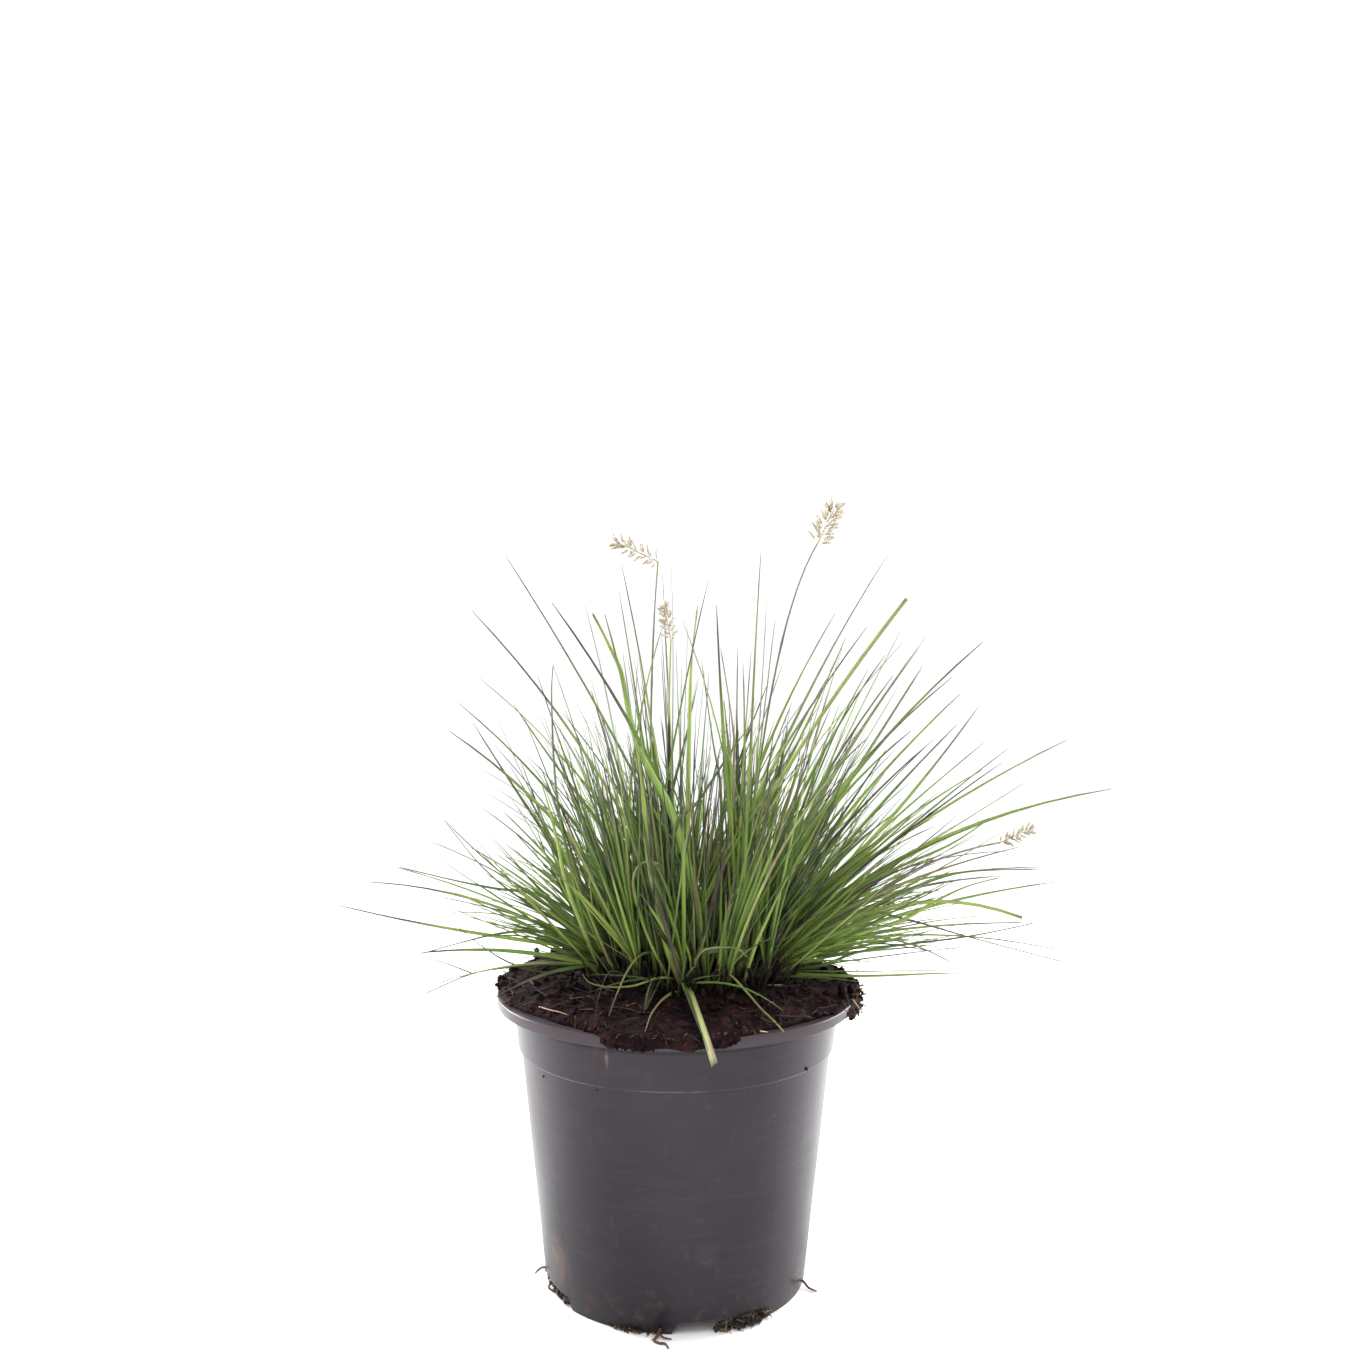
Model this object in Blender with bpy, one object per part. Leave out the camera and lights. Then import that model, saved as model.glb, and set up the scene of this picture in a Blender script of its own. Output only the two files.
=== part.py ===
"""Fountain grass in a round nursery pot, for Blender 4.5.

Metres, +Z up. The origin is the middle of the pot's underside. In the front view +X is to the
right and +Y leads away. The pot holds a root ball, whose peat mounds over the rim. A low crown
sits on the peat, and from it rise the leaf tufts, each a sheath with up to seven leaves, and
four flowering stems.
"""
import math
import random

import bmesh
import bpy
import numpy as np
from mathutils import Matrix, Vector

MM = 0.001
GAP = 0.3 * MM  # clearance between pieces that touch
UP = Vector((0, 0, 1))

# Pot: radii and heights of the outer side
POT_HEIGHT = 0.160
BASE_RADIUS = 0.071
WALL_TOP_RADIUS = 0.0829
COLLAR_BOTTOM = 0.130
COLLAR_STEP = 0.0016
COLLAR_TOP_RADIUS = 0.0868
LIP_RADIUS = 0.0955
LIP_DEPTH = 0.0055
WALL = 0.0012
FLOOR = 0.0020
PAD_RADIUS = 0.054  # inside this radius the floor rests on the ground
CHANNEL_HEIGHT = 0.009  # round it a hollow ring leads to the drain notches
CHANNEL_SLANT = 0.0010
FOOT_RING = 0.0018  # thickness of the foot between that hollow and the outside
FLANGE = 0.0015  # thickness of the flat ring between the collar and the lip
STEP_RISE = 0.0010  # the inside steps out this much above the outside
EDGE_BREAK = 0.0007  # the lip's edge and the foot's are broken by this much
POT_STEPS = 38
WELD = 0.05 * MM

# Drain notches in the foot of the wall
NOTCH_COUNT = 4
NOTCH_FIRST_ANGLE = -70.0
NOTCH_FOOT_WIDTH = 0.052
NOTCH_TOP_WIDTH = 0.045
NOTCH_HEIGHT = 0.0065
NOTCH_INNER_RADIUS = 0.060
NOTCH_OUTER_RADIUS = 0.079
NOTCH_OVERSHOOT = 0.003  # the cutter goes on this far below the foot

# Peat
PEAT_STEPS = POT_STEPS  # flat for flat with the pot, so that the gap between them is even
PEAT_FLAT_RADIUS = 0.061
PEAT_TOP = 0.1655
HANG_ANGLE = -8.0  # where a clump of peat hangs over the rim
HANG_HALF_ANGLE = 26.0
HANG_OUT = 0.0065
HANG_DROP = 0.011
PEAT_SPREAD = 0.0925  # how far it lies on the rim elsewhere
PEAT_EDGE_RISE = 0.0034  # how high its edge stands above the rim

# Crown that carries the tufts
CROWN_X = 0.008
CROWN_RADIUS = 0.058
CROWN_TOP = PEAT_TOP + GAP + 0.0045
CROWN_STEPS = 20
CROWN_LOBE = 1.2 * MM

# Leaf tufts
SHEATH_SIDES = 7
SHEATH_RADIUS = 0.0031
SHEATH_FOOT_RADIUS = 0.0023
SHEATH_LOW, SHEATH_HIGH = 0.006, 0.017
FOOT_SPACING = 0.0108
FOOT_ROUNDS = 300
SHEATH_LEAN = 0.25  # how far a low tuft's sheath leans, as a share of its height
LEAF_THICKNESS_SHARE = 0.34
LEAF_FOOT = 0.68  # room that a leaf's foot takes, as a share of the sheath's radius
LEAF_CLEARANCE = 0.25 * MM
LONG_LEAF = 0.125
LONG_LEAF_STATIONS = ((0.12, 0.92), (0.40, 1.0), (0.72, 0.72))
SHORT_LEAF_STATIONS = ((0.14, 0.92), (0.55, 0.9))
LOWEST_LEAF_OVER_PEAT = 2.2 * MM
PEAT_EDGE = 0.075  # past this radius a leaf may sink with the peat's slope
PEAT_SLOPE = 0.05
PEAT_REACH = 0.112  # and past this one there is nothing under it

# Each tuft: where it stands on the crown, across and back, then where its long leaves end: across,
# back and up, all in millimetres, and how much the leaf bows upwards as a share of its length. A
# negative bow turns the tip up.
TUFTS = (
    ((37, -20), (161, -20, 349, 0.05)),
    ((4, -34), (118, -40, 372, 0.03)),
    ((4, -52), (20, -122, 159, 0.02), (54, -76, 169, 0.12)),
    ((26, -12), (-88, -20, 394, 0.02)),
    ((8, 8), (-113, 30, 364, 0.05), (-111, 45, 325, 0.06)),
    ((-22, -25), (-60, -60, 339, 0.02)),
    ((-12, -18), (-112, -30, 318, 0.06), (-120, -10, 301, 0.06)),
    ((-30, 28), (-120, 80, 296, -0.02)),
    ((-14, 22), (-52, 60, 366, 0.02)),
    ((-6, -26), (-36, -30, 364, 0.03)),
    ((0, 18), (-30, 40, 389, 0.03)),
    ((-3, -6), (-2, -10, 392, 0.01)),
    ((-18, -12), (18, -30, 385, 0.01)),
    ((42, -28), (21, -50, 369, -0.02)),
    ((38, -4), (46, 0, 397, 0.01), (50, 20, 368, 0.01)),
    ((34, -38), (50, -60, 362, 0.01)),
    ((12, 4), (84, 30, 360, 0.04)),
    ((16, 20), (122, 60, 395, 0.03)),
    ((48, 22), (134, 90, 350, 0.02)),
    ((38, 10), (129, -10, 345, 0.03), (135, 5, 350, 0.03)),
    ((50, -26), (81, -80, 349, 0.02)),
    ((44, -16), (142, -60, 325, 0.04), (126, -80, 305, 0.03)),
    ((56, 12), (180, 80, 303, -0.03), (200, 90, 280, 0.01)),
    ((50, 0), (214, 10, 294, 0.04)),
    ((52, -12), (227, -30, 273, 0.08)),
    ((52, 26), (212, 50, 215, 0.07), (192, 70, 206, 0.05)),
    ((54, -24), (196, -40, 226, 0.04), (175, -60, 212, 0.05)),
    ((58, 6), (201, 20, 190, 0.03), (217, 0, 178, 0.06)),
    ((-36, 16), (-134, 60, 241, -0.05)),
    ((-40, -12), (-145, -40, 234, 0.04), (-165, -20, 222, 0.07)),
    ((-42, 2), (-185, -10, 208, -0.02)),
    ((-38, -24), (-129, -60, 194, 0.05), (-126, -55, 175, 0.06)),
    ((-40, 22), (-133, 80, 182, 0.05)),
    ((-8, -48), (-15, -78, 169, 0.12), (-33, -78, 170, 0.05), (-46, -50, 180, 0.03)),
    ((-44, -4), (-88, 8, 173, 0.02)),
    ((59, -8), (101, -20, 173, 0.02)),
    ((-20, -38), (-60, -140, 300, 0.05)),
    ((4, -44), (5, -150, 285, 0.07), (-12, -105, 252, 0.10)),
    ((28, -46), (75, -135, 300, 0.05)),
    ((-16, 38), (-80, 160, 290, 0.05)),
    ((6, 40), (0, 155, 335, 0.04)),
    ((26, 36), (75, 165, 300, 0.05)),
    ((42, 34), (125, 150, 235, 0.06)),
    ((-30, 34), (-105, 140, 232, 0.06)),
    ((-4, 48), (-30, 190, 238, 0.07)),
    ((18, 48), (40, 190, 222, 0.07)),
)
LEAF_FAN = (0.05, 0.20)  # how far a leaf leans away from its tuft's long one, as a slope
LEAF_SHARE = (0.50, 0.98)  # its length as a share of the long one's
LOW_TUFT_RISE = 0.7  # the leaves round a low long leaf stand up more than it does
LOW_TUFT_SHORTER = 0.25
LEAF_BOW = (-0.01, 0.06)
LEAF_WIDTH = (1.9 * MM, 2.7 * MM)
LEAD_WIDTH = (2.3 * MM, 2.9 * MM)
LEAD_TRIES, LEAF_TRIES = 24, 50
LEAD_NUDGE = 0.5 * MM  # each try may move a long leaf's tip this much further
SLOT_ORDER = (3, 4, 0, 1, 6, 2, 5)  # the leaves on the inner side of a sheath grow first
GROWTH_SEED = 11

# Flowering stems: foot, a point half-way up and the top, then the plume's tip, in millimetres
STEMS = (
    ("left", (-12, -4), (-13, -2, 300), (-9, 0, 391), (-35, -5, 403)),
    ("right", (36, 16), (53, 18, 320), (78, 20, 401), (89, 22, 424)),
    ("middle", (0, -16), (-3, -18, 270), (-2, -20, 350), (-6, -20, 371)),
    ("low", (61, -14), (113, -12, 218), (174, -10, 241), (193, -10, 253)),
)
STEM_RADIUS = 0.75 * MM
STEM_POINTS = 9
PLUME_RINGS = 6
PLUME_CORE = 1.3 * MM
PLUME_SIDES = 5
SPIKELET = 8.0 * MM

# Peat and roots that hang out at the pot's foot: angle of the middle, half-angle, how far they
# stand out and how high
ROOT_MATS = (
    ("root_mat_left", -108.0, 11.5, 0.0065, 0.0045),
    ("root_mat_right", -60.0, 13.0, 0.010, 0.0075),
)
ROOT_MAT_STEPS = 9


def clear_scene():
    for thing in list(bpy.data.objects):
        bpy.data.objects.remove(thing, do_unlink=True)


def finish_material(name, colour, roughness):
    material = bpy.data.materials.new(name)
    material.use_nodes = True
    shader = material.node_tree.nodes["Principled BSDF"]
    shader.inputs["Base Color"].default_value = (*colour, 1)
    shader.inputs["Roughness"].default_value = roughness
    shader.inputs["Metallic"].default_value = 0.0
    material.diffuse_color = (*colour, 1)
    return material


def pot_plastic():
    return finish_material("pot_plastic", (0.085, 0.076, 0.090), 0.42)


def peat_brown():
    return finish_material("peat_brown", (0.030, 0.016, 0.012), 0.95)


def crown_straw():
    return finish_material("crown_straw", (0.16, 0.14, 0.05), 0.8)


def leaf_green():
    return finish_material("leaf_green", (0.14, 0.26, 0.05), 0.5)


def stem_green():
    return finish_material("stem_green", (0.16, 0.19, 0.10), 0.55)


def plume_cream():
    return finish_material("plume_cream", (0.60, 0.50, 0.34), 0.85)


def object_from(name, bm, material):
    """Turn a finished bmesh into a scene object with outward faces."""
    bmesh.ops.recalc_face_normals(bm, faces=bm.faces)
    if bm.calc_volume(signed=True) < 0:
        bmesh.ops.reverse_faces(bm, faces=bm.faces)
    mesh = bpy.data.meshes.new(name)
    bm.to_mesh(mesh)
    bm.free()
    mesh.materials.append(material)
    thing = bpy.data.objects.new(name, mesh)
    bpy.context.scene.collection.objects.link(thing)
    return thing


def ring_body(bm, rings, bottom, top):
    """A closed body through rings of equal length, with a point under the first and over the last."""
    rows = [[bm.verts.new(point) for point in ring] for ring in rings]
    low, high = bm.verts.new(bottom), bm.verts.new(top)
    count = len(rows[0])
    for i in range(count):
        j = (i + 1) % count
        bm.faces.new((low, rows[0][j], rows[0][i]))
        bm.faces.new((high, rows[-1][i], rows[-1][j]))
        for lower, upper in zip(rows, rows[1:]):
            bm.faces.new((lower[i], lower[j], upper[j], upper[i]))


def polar(radius, angle, z):
    return Vector((radius * math.cos(angle), radius * math.sin(angle), z))


def wall_radius(z):
    """Outer radius of the plain wall below the collar."""
    return BASE_RADIUS + (WALL_TOP_RADIUS - BASE_RADIUS) * z / COLLAR_BOTTOM


def pot_profile():
    """The pot's section, from the middle of the floor up the inside and down the outside."""
    collar = WALL_TOP_RADIUS + COLLAR_STEP
    under_flange = POT_HEIGHT - FLANGE
    lip_bottom = POT_HEIGHT - LIP_DEPTH
    raised = CHANNEL_HEIGHT + FLOOR
    return (
        (0, FLOOR),
        (PAD_RADIUS - FLOOR, FLOOR),
        (PAD_RADIUS - FLOOR + CHANNEL_SLANT, raised),
        (wall_radius(raised) - WALL, raised),
        (WALL_TOP_RADIUS - WALL, COLLAR_BOTTOM + STEP_RISE),
        (collar - WALL, COLLAR_BOTTOM + STEP_RISE + COLLAR_STEP / 2),
        (COLLAR_TOP_RADIUS - WALL, under_flange),
        (COLLAR_TOP_RADIUS + GAP, POT_HEIGHT),
        (LIP_RADIUS - EDGE_BREAK, POT_HEIGHT),
        (LIP_RADIUS, POT_HEIGHT - EDGE_BREAK),
        (LIP_RADIUS, lip_bottom),
        (LIP_RADIUS - WALL, lip_bottom),
        (LIP_RADIUS - WALL, under_flange),
        (COLLAR_TOP_RADIUS, under_flange),
        (collar, COLLAR_BOTTOM + COLLAR_STEP / 4),
        (WALL_TOP_RADIUS, COLLAR_BOTTOM),
        (wall_radius(EDGE_BREAK), EDGE_BREAK),
        (BASE_RADIUS - EDGE_BREAK, 0),
        (BASE_RADIUS - FOOT_RING, 0),
        (BASE_RADIUS - FOOT_RING, CHANNEL_HEIGHT),
        (PAD_RADIUS + CHANNEL_SLANT, CHANNEL_HEIGHT),
        (PAD_RADIUS, 0),
        (0, 0),
    )


def notch_cutter(angle):
    """A bar that cuts one drain notch, wider at the foot than at the top."""
    bm = bmesh.new()
    bmesh.ops.create_cube(bm, size=1.0)
    flare = (NOTCH_FOOT_WIDTH - NOTCH_TOP_WIDTH) / NOTCH_HEIGHT
    for corner in bm.verts:
        height = NOTCH_HEIGHT if corner.co.z > 0 else -NOTCH_OVERSHOOT
        corner.co.x = NOTCH_OUTER_RADIUS if corner.co.x > 0 else NOTCH_INNER_RADIUS
        corner.co.y = math.copysign((NOTCH_FOOT_WIDTH - flare * height) / 2, corner.co.y)
        corner.co.z = height
    cutter = object_from("notch_cutter", bm, pot_plastic())
    cutter.rotation_euler.z = math.radians(angle)
    cutter.hide_render = True
    cutter.display_type = "WIRE"
    return cutter


def build_pot():
    bm = bmesh.new()
    corners = [bm.verts.new((radius, 0, z)) for radius, z in pot_profile()]
    for start, end in zip(corners, corners[1:]):
        bm.edges.new((start, end))
    mesh = bpy.data.meshes.new("pot")
    bm.to_mesh(mesh)
    bm.free()
    mesh.materials.append(pot_plastic())
    pot = bpy.data.objects.new("pot", mesh)
    bpy.context.scene.collection.objects.link(pot)
    turn = pot.modifiers.new("turn", "SCREW")
    turn.steps = turn.render_steps = POT_STEPS
    turn.use_merge_vertices = True
    turn.merge_threshold = WELD
    turn.use_smooth_shade = True
    for number in range(NOTCH_COUNT):
        cut = pot.modifiers.new(f"notch_{number}", "BOOLEAN")
        cut.object = notch_cutter(NOTCH_FIRST_ANGLE + number * 360 / NOTCH_COUNT)
        cut.operation = "DIFFERENCE"
    return pot


def peat_edge(angle):
    """How far the peat spreads over the rim, its underside there and its top there."""
    wave = 1.7 * math.sin(3 * angle + 0.6) + 1.3 * math.sin(7 * angle + 2.0)
    spread = PEAT_SPREAD + wave * MM
    rise = PEAT_EDGE_RISE + (1.0 * math.sin(5 * angle) + 0.7 * math.sin(11 * angle + 1.0)) * MM
    away = abs(math.remainder(angle - math.radians(HANG_ANGLE), math.tau))
    turn = away / math.radians(HANG_HALF_ANGLE)
    if turn < 1:
        spread = LIP_RADIUS + 1.5 * MM + HANG_OUT * (1 - turn)
    drop = HANG_DROP * max(0.0, 1 - turn / 0.7)
    return spread, POT_HEIGHT + GAP - drop, POT_HEIGHT + rise


def build_peat():
    """The root ball: it fills the pot, mounds over the rim and hangs over it on the right."""
    noise = random.Random(3)
    angles = [math.tau * i / PEAT_STEPS for i in range(PEAT_STEPS)]
    collar = WALL_TOP_RADIUS + COLLAR_STEP
    outside_lip = LIP_RADIUS + GAP

    def even(radius, z):
        return [polar(radius, angle, z) for angle in angles]

    def over_rim(angle):
        spread, low, _ = peat_edge(angle)
        return polar(min(spread - 1.5 * MM, outside_lip + 0.2 * MM), angle, POT_HEIGHT + GAP)

    def rough(radius, z, depth):
        return [
            polar(radius * noise.uniform(0.985, 1.015), angle, z + noise.uniform(-depth, depth))
            for angle in angles
        ]

    edges = [(angle, *peat_edge(angle)) for angle in angles]
    raised = CHANNEL_HEIGHT + FLOOR
    rings = [
        even(PAD_RADIUS - FLOOR - GAP, FLOOR + GAP),
        even(PAD_RADIUS - FLOOR + CHANNEL_SLANT - GAP, raised + GAP),
        even(wall_radius(raised) - WALL - GAP, raised + GAP),
        even(WALL_TOP_RADIUS - WALL - 2 * GAP, COLLAR_BOTTOM),
        even(collar - WALL - GAP, COLLAR_BOTTOM + 4 * MM),
        even(COLLAR_TOP_RADIUS - WALL - GAP - 0.2 * MM, POT_HEIGHT - FLANGE),
        even(COLLAR_TOP_RADIUS - GAP, POT_HEIGHT + GAP),
        [over_rim(angle) for angle in angles],
        [polar(spread, angle, low) for angle, spread, low, high in edges],
        [polar(spread - 0.8 * MM, angle, high) for angle, spread, low, high in edges],
        rough(0.085, PEAT_TOP - 0.8 * MM, 1.4 * MM),
        rough(0.077, PEAT_TOP - 0.3 * MM, 1.6 * MM),
        rough(0.070, PEAT_TOP, 1.2 * MM),
        [point + Vector((CROWN_X, 0, 0)) for point in even(PEAT_FLAT_RADIUS, PEAT_TOP)],
    ]
    bm = bmesh.new()
    ring_body(bm, rings, Vector((0, 0, FLOOR + GAP)), Vector((CROWN_X, 0, PEAT_TOP)))
    return object_from("peat_root_ball", bm, peat_brown())


def build_crown():
    """The low pad of old sheath bases and short shoots that every tuft stands on."""
    base = PEAT_TOP + GAP
    angles = [math.tau * i / CROWN_STEPS for i in range(CROWN_STEPS)]

    def lobed(radius, z):
        middle = Vector((CROWN_X, 0, 0))
        return [middle + polar(radius + CROWN_LOBE * math.sin(5 * angle), angle, z) for angle in angles]

    rings = [
        lobed(CROWN_RADIUS, base),
        lobed(CROWN_RADIUS + CROWN_LOBE / 2, (base + CROWN_TOP) / 2),
        lobed(CROWN_RADIUS - CROWN_LOBE, CROWN_TOP),
    ]
    bm = bmesh.new()
    ring_body(bm, rings, Vector((CROWN_X, 0, base)), Vector((CROWN_X, 0, CROWN_TOP)))
    return object_from("grass_crown", bm, crown_straw())


class Thicket:
    """The straight stretches that leaves, sheaths and stems already fill."""

    def __init__(self):
        self.starts, self.ends, self.radii, self.owners = [], [], [], []

    def add(self, owner, points, radii):
        for k in range(len(points) - 1):
            self.starts.append(points[k])
            self.ends.append(points[k + 1])
            self.radii.append(max(radii[k], radii[k + 1]))
            self.owners.append(owner)

    def is_clear(self, owner, points, radii):
        """Whether a new leaf passes every stretch, apart from the foot of its own tuft."""
        if not self.starts:
            return True
        a, b = np.array(self.starts), np.array(self.ends)
        taken, own = np.array(self.radii), np.array(self.owners) == owner
        for k in range(len(points) - 1):
            distance = stretch_gaps(np.array(points[k]), np.array(points[k + 1]), a, b)
            need = taken + max(radii[k], radii[k + 1]) + LEAF_CLEARANCE
            need[own] *= 0.0 if k == 0 else 0.75
            if (distance < need).any():
                return False
        return True


def stretch_gaps(p, q, a, b):
    """Shortest distance from the stretch p-q to each stretch a-b."""
    d, e, r = q - p, b - a, p - a
    dd, ee, de = d @ d, (e * e).sum(1), e @ d
    dr, er = r @ d, (e * r).sum(1)
    along = np.clip((de * er - dr * ee) / np.maximum(dd * ee - de * de, 1e-15), 0, 1)
    other = np.clip((de * along + er) / ee, 0, 1)
    along = np.clip((de * other - dr) / dd, 0, 1)
    return np.linalg.norm(r + along[:, None] * d - other[:, None] * e, axis=1)


def bow_point(foot, crest, tip, t):
    return foot * (1 - t) ** 2 + crest * (2 * t * (1 - t)) + tip * t**2


def bow_crest(foot, tip, bow):
    """The middle control point of a leaf that bows upwards by a share of its length."""
    chord = tip - foot
    lift = (UP - chord * (chord.z / chord.length_squared)).normalized()
    return (foot + tip) / 2 + lift * (2 * bow * chord.length)


def stations_of(foot, tip):
    return LONG_LEAF_STATIONS if (tip - foot).length > LONG_LEAF else SHORT_LEAF_STATIONS


def leaf_line(leaf):
    """The leaf's points and half-widths at its foot, its stations and its tip."""
    foot, crest, tip = leaf["foot"], leaf["crest"], leaf["tip"]
    stations = stations_of(foot, tip)
    points = [foot] + [bow_point(foot, crest, tip, t) for t, _ in stations] + [tip]
    half = leaf["width"] / 2
    return points, [SHEATH_RADIUS * LEAF_FOOT] + [half * share for _, share in stations] + [0.0]


def over_peat(points):
    """Whether a leaf stays above the peat, and above the rim past it."""
    for start, end in zip(points, points[1:]):
        for t in (0.25, 0.5, 0.75, 1.0):
            point = start.lerp(end, t)
            reach = math.hypot(point.x, point.y)
            floor = PEAT_TOP + LOWEST_LEAF_OVER_PEAT - PEAT_SLOPE * max(0.0, reach - PEAT_EDGE)
            if reach < PEAT_REACH and point.z < floor:
                return False
    return True


def tuft_feet():
    """Where each tuft stands on the crown: out towards its leaves, then pushed apart."""
    middle = Vector((CROWN_X, 0))
    feet = [Vector(foot) * MM - middle for foot, *_ in TUFTS]
    stems = [Vector(foot) * MM - middle for _, foot, *_ in STEMS]
    edge = CROWN_RADIUS - 5 * MM
    for _ in range(FOOT_ROUNDS):
        for i, foot in enumerate(feet):
            for other in feet[:i] + stems:
                away = foot - other
                push = away.normalized() * max(0.0, FOOT_SPACING - away.length) * 0.5
                foot += push
                if not any(other is stem for stem in stems):
                    other -= push
        for foot in feet:
            foot *= min(1.0, edge / foot.length)
    return [foot + middle for foot in feet]


def sheath_of(foot, leads):
    """The tuft's short stem: its foot, its top and the way that it leans."""
    tips = [Vector(lead[:3]) * MM for lead in leads]
    mean = sum(tips, Vector()) / len(tips)
    lean = mean - Vector((*foot, CROWN_TOP))
    steep = lean.z / lean.length
    height = SHEATH_LOW + (SHEATH_HIGH - SHEATH_LOW) * max(0.0, steep)
    heading = math.atan2(lean.y, lean.x)
    shift = polar(height * SHEATH_LEAN * (1 - steep), heading, 0)
    base = Vector((*foot, CROWN_TOP + GAP))
    return {"base": base, "top": base + shift + UP * height, "heading": heading}


def slot_foot(sheath, slot):
    """The middle of one of the triangles on the sheath's top, and the way that it faces."""
    out = polar(1, sheath["heading"] + slot * math.tau / SHEATH_SIDES, 0)
    return sheath["top"] + out * (SHEATH_RADIUS * math.cos(math.pi / SHEATH_SIDES) * 2 / 3), out


def lead_slots(sheath, leads):
    """The lowest long leaf takes the slot that faces out, and the others its two sides."""
    order = sorted(leads, key=lambda lead: lead[2])
    slots = [(order[0], 0)]
    for lead in order[1:]:
        away = Vector(lead[:3]) * MM - sheath["top"]
        turn = math.atan2(away.y, away.x) - sheath["heading"]
        side = 1 if math.sin(turn) > 0 else SHEATH_SIDES - 1
        taken = [slot for _, slot in slots]
        slots.append((lead, side if side not in taken else SHEATH_SIDES - side))
    return slots


def make_leaf(sheath, slot, tip, bow, width):
    foot, out = slot_foot(sheath, slot)
    crest = bow_crest(foot, tip, bow)
    return {"slot": slot, "foot": foot, "out": out, "tip": tip, "crest": crest, "width": width}


def grow(thicket, owner, attempts, propose):
    """Take the first proposed leaf that clears its neighbours and the peat."""
    for attempt in range(attempts):
        leaf = propose(attempt)
        points, radii = leaf_line(leaf)
        if over_peat(points) and thicket.is_clear(owner, points, radii):
            thicket.add(owner, points, radii)
            return leaf
    return None


def grow_tufts():
    """Every tuft's sheath and leaves, the long ones first so that the rest fit round them."""
    rng = random.Random(GROWTH_SEED)
    thicket = Thicket()
    for number, stem in enumerate(STEMS):
        thicket.add(-1 - number, stem_points(stem), [STEM_RADIUS + 0.2 * MM] * STEM_POINTS)
    tufts = []
    for number, (foot, (_, *leads)) in enumerate(zip(tuft_feet(), TUFTS)):
        sheath = sheath_of(foot, leads)
        thicket.add(number, [sheath["base"], sheath["top"]], [SHEATH_RADIUS] * 2)
        tufts.append({"sheath": sheath, "leaves": []})

    def nudge(attempt):
        return Vector([rng.uniform(-1, 1) * attempt * LEAD_NUDGE for _ in range(3)])

    for number, (tuft, (_, *leads)) in enumerate(zip(tufts, TUFTS)):
        for lead, slot in lead_slots(tuft["sheath"], leads):
            width = rng.uniform(*LEAD_WIDTH)
            taken = [leaf["slot"] for leaf in tuft["leaves"]]
            for spare in [slot] + [other for other in range(SHEATH_SIDES) if other not in taken]:

                def propose(attempt):
                    tip = Vector(lead[:3]) * MM + nudge(attempt)
                    return make_leaf(tuft["sheath"], spare, tip, lead[3], width)

                leaf = grow(thicket, number, LEAD_TRIES, propose)
                if leaf:
                    tuft["leaves"].append(leaf)
                    break

    for slot in SLOT_ORDER:
        for number, tuft in enumerate(tufts):
            taken = [leaf["slot"] for leaf in tuft["leaves"]]
            if slot in taken or not taken:
                continue
            main = tuft["leaves"][0]

            def propose(attempt):
                foot, out = slot_foot(tuft["sheath"], slot)
                chord = main["tip"] - main["foot"]
                away = (out - chord * (out.dot(chord) / chord.length_squared)).normalized()
                low = 1 - chord.z / chord.length
                way = chord.normalized() + away * rng.uniform(*LEAF_FAN)
                way += UP * rng.uniform(0, LOW_TUFT_RISE) * low
                length = chord.length * (rng.uniform(*LEAF_SHARE) - LOW_TUFT_SHORTER * low)
                tip = foot + way.normalized() * length
                bow, width = rng.uniform(*LEAF_BOW), rng.uniform(*LEAF_WIDTH)
                return make_leaf(tuft["sheath"], slot, tip, bow, width)

            leaf = grow(thicket, number, LEAF_TRIES, propose)
            if leaf:
                tuft["leaves"].append(leaf)
    return tufts


def extrude_along(bm, face, inner, leaf):
    """Draw one triangle of the sheath's top out into a leaf, ring by ring, to a point."""
    width_way = UP.cross(leaf["out"])
    roles = [
        0 if corner is inner else math.copysign(1, (corner.co - inner.co).dot(width_way))
        for corner in face.verts
    ]
    foot, crest, tip = leaf["foot"], leaf["crest"], leaf["tip"]
    for t, share in stations_of(foot, tip):
        face = bmesh.ops.extrude_discrete_faces(bm, faces=[face])["faces"][0]
        middle = bow_point(foot, crest, tip, t)
        along = ((crest - foot) * (1 - t) + (tip - crest) * t).normalized()
        across = (width_way - along * width_way.dot(along)).normalized()
        inward = along.cross(across)
        half = leaf["width"] / 2 * share
        thick = leaf["width"] * LEAF_THICKNESS_SHARE * share
        for corner, role in zip(face.verts, roles):
            rib, margin = inward * thick * 2 / 3, across * half * role - inward * thick / 3
            corner.co = middle + (rib if role == 0 else margin)
    face = bmesh.ops.extrude_discrete_faces(bm, faces=[face])["faces"][0]
    bmesh.ops.pointmerge(bm, verts=list(face.verts), merge_co=tip)


def build_tuft(name, tuft, material):
    sheath = tuft["sheath"]
    base, top = sheath["base"], sheath["top"]
    bm = bmesh.new()
    turned = Matrix.Rotation(sheath["heading"], 4, "Z")
    bmesh.ops.create_cone(
        bm, cap_ends=True, cap_tris=True, segments=SHEATH_SIDES, depth=(top - base).z,
        radius1=SHEATH_FOOT_RADIUS, radius2=SHEATH_RADIUS, matrix=turned,
    )
    middle_height = (top.z - base.z) / 2
    for corner in bm.verts:
        corner.co += base + UP * middle_height if corner.co.z < 0 else top - UP * middle_height
    inner = min(bm.verts, key=lambda corner: (corner.co - top).length)
    caps = [
        min(inner.link_faces, key=lambda cap: (cap.calc_center_median() - leaf["foot"]).length)
        for leaf in tuft["leaves"]
    ]
    for cap, leaf in zip(caps, tuft["leaves"]):
        extrude_along(bm, cap, inner, leaf)
    return object_from(name, bm, material)


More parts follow.
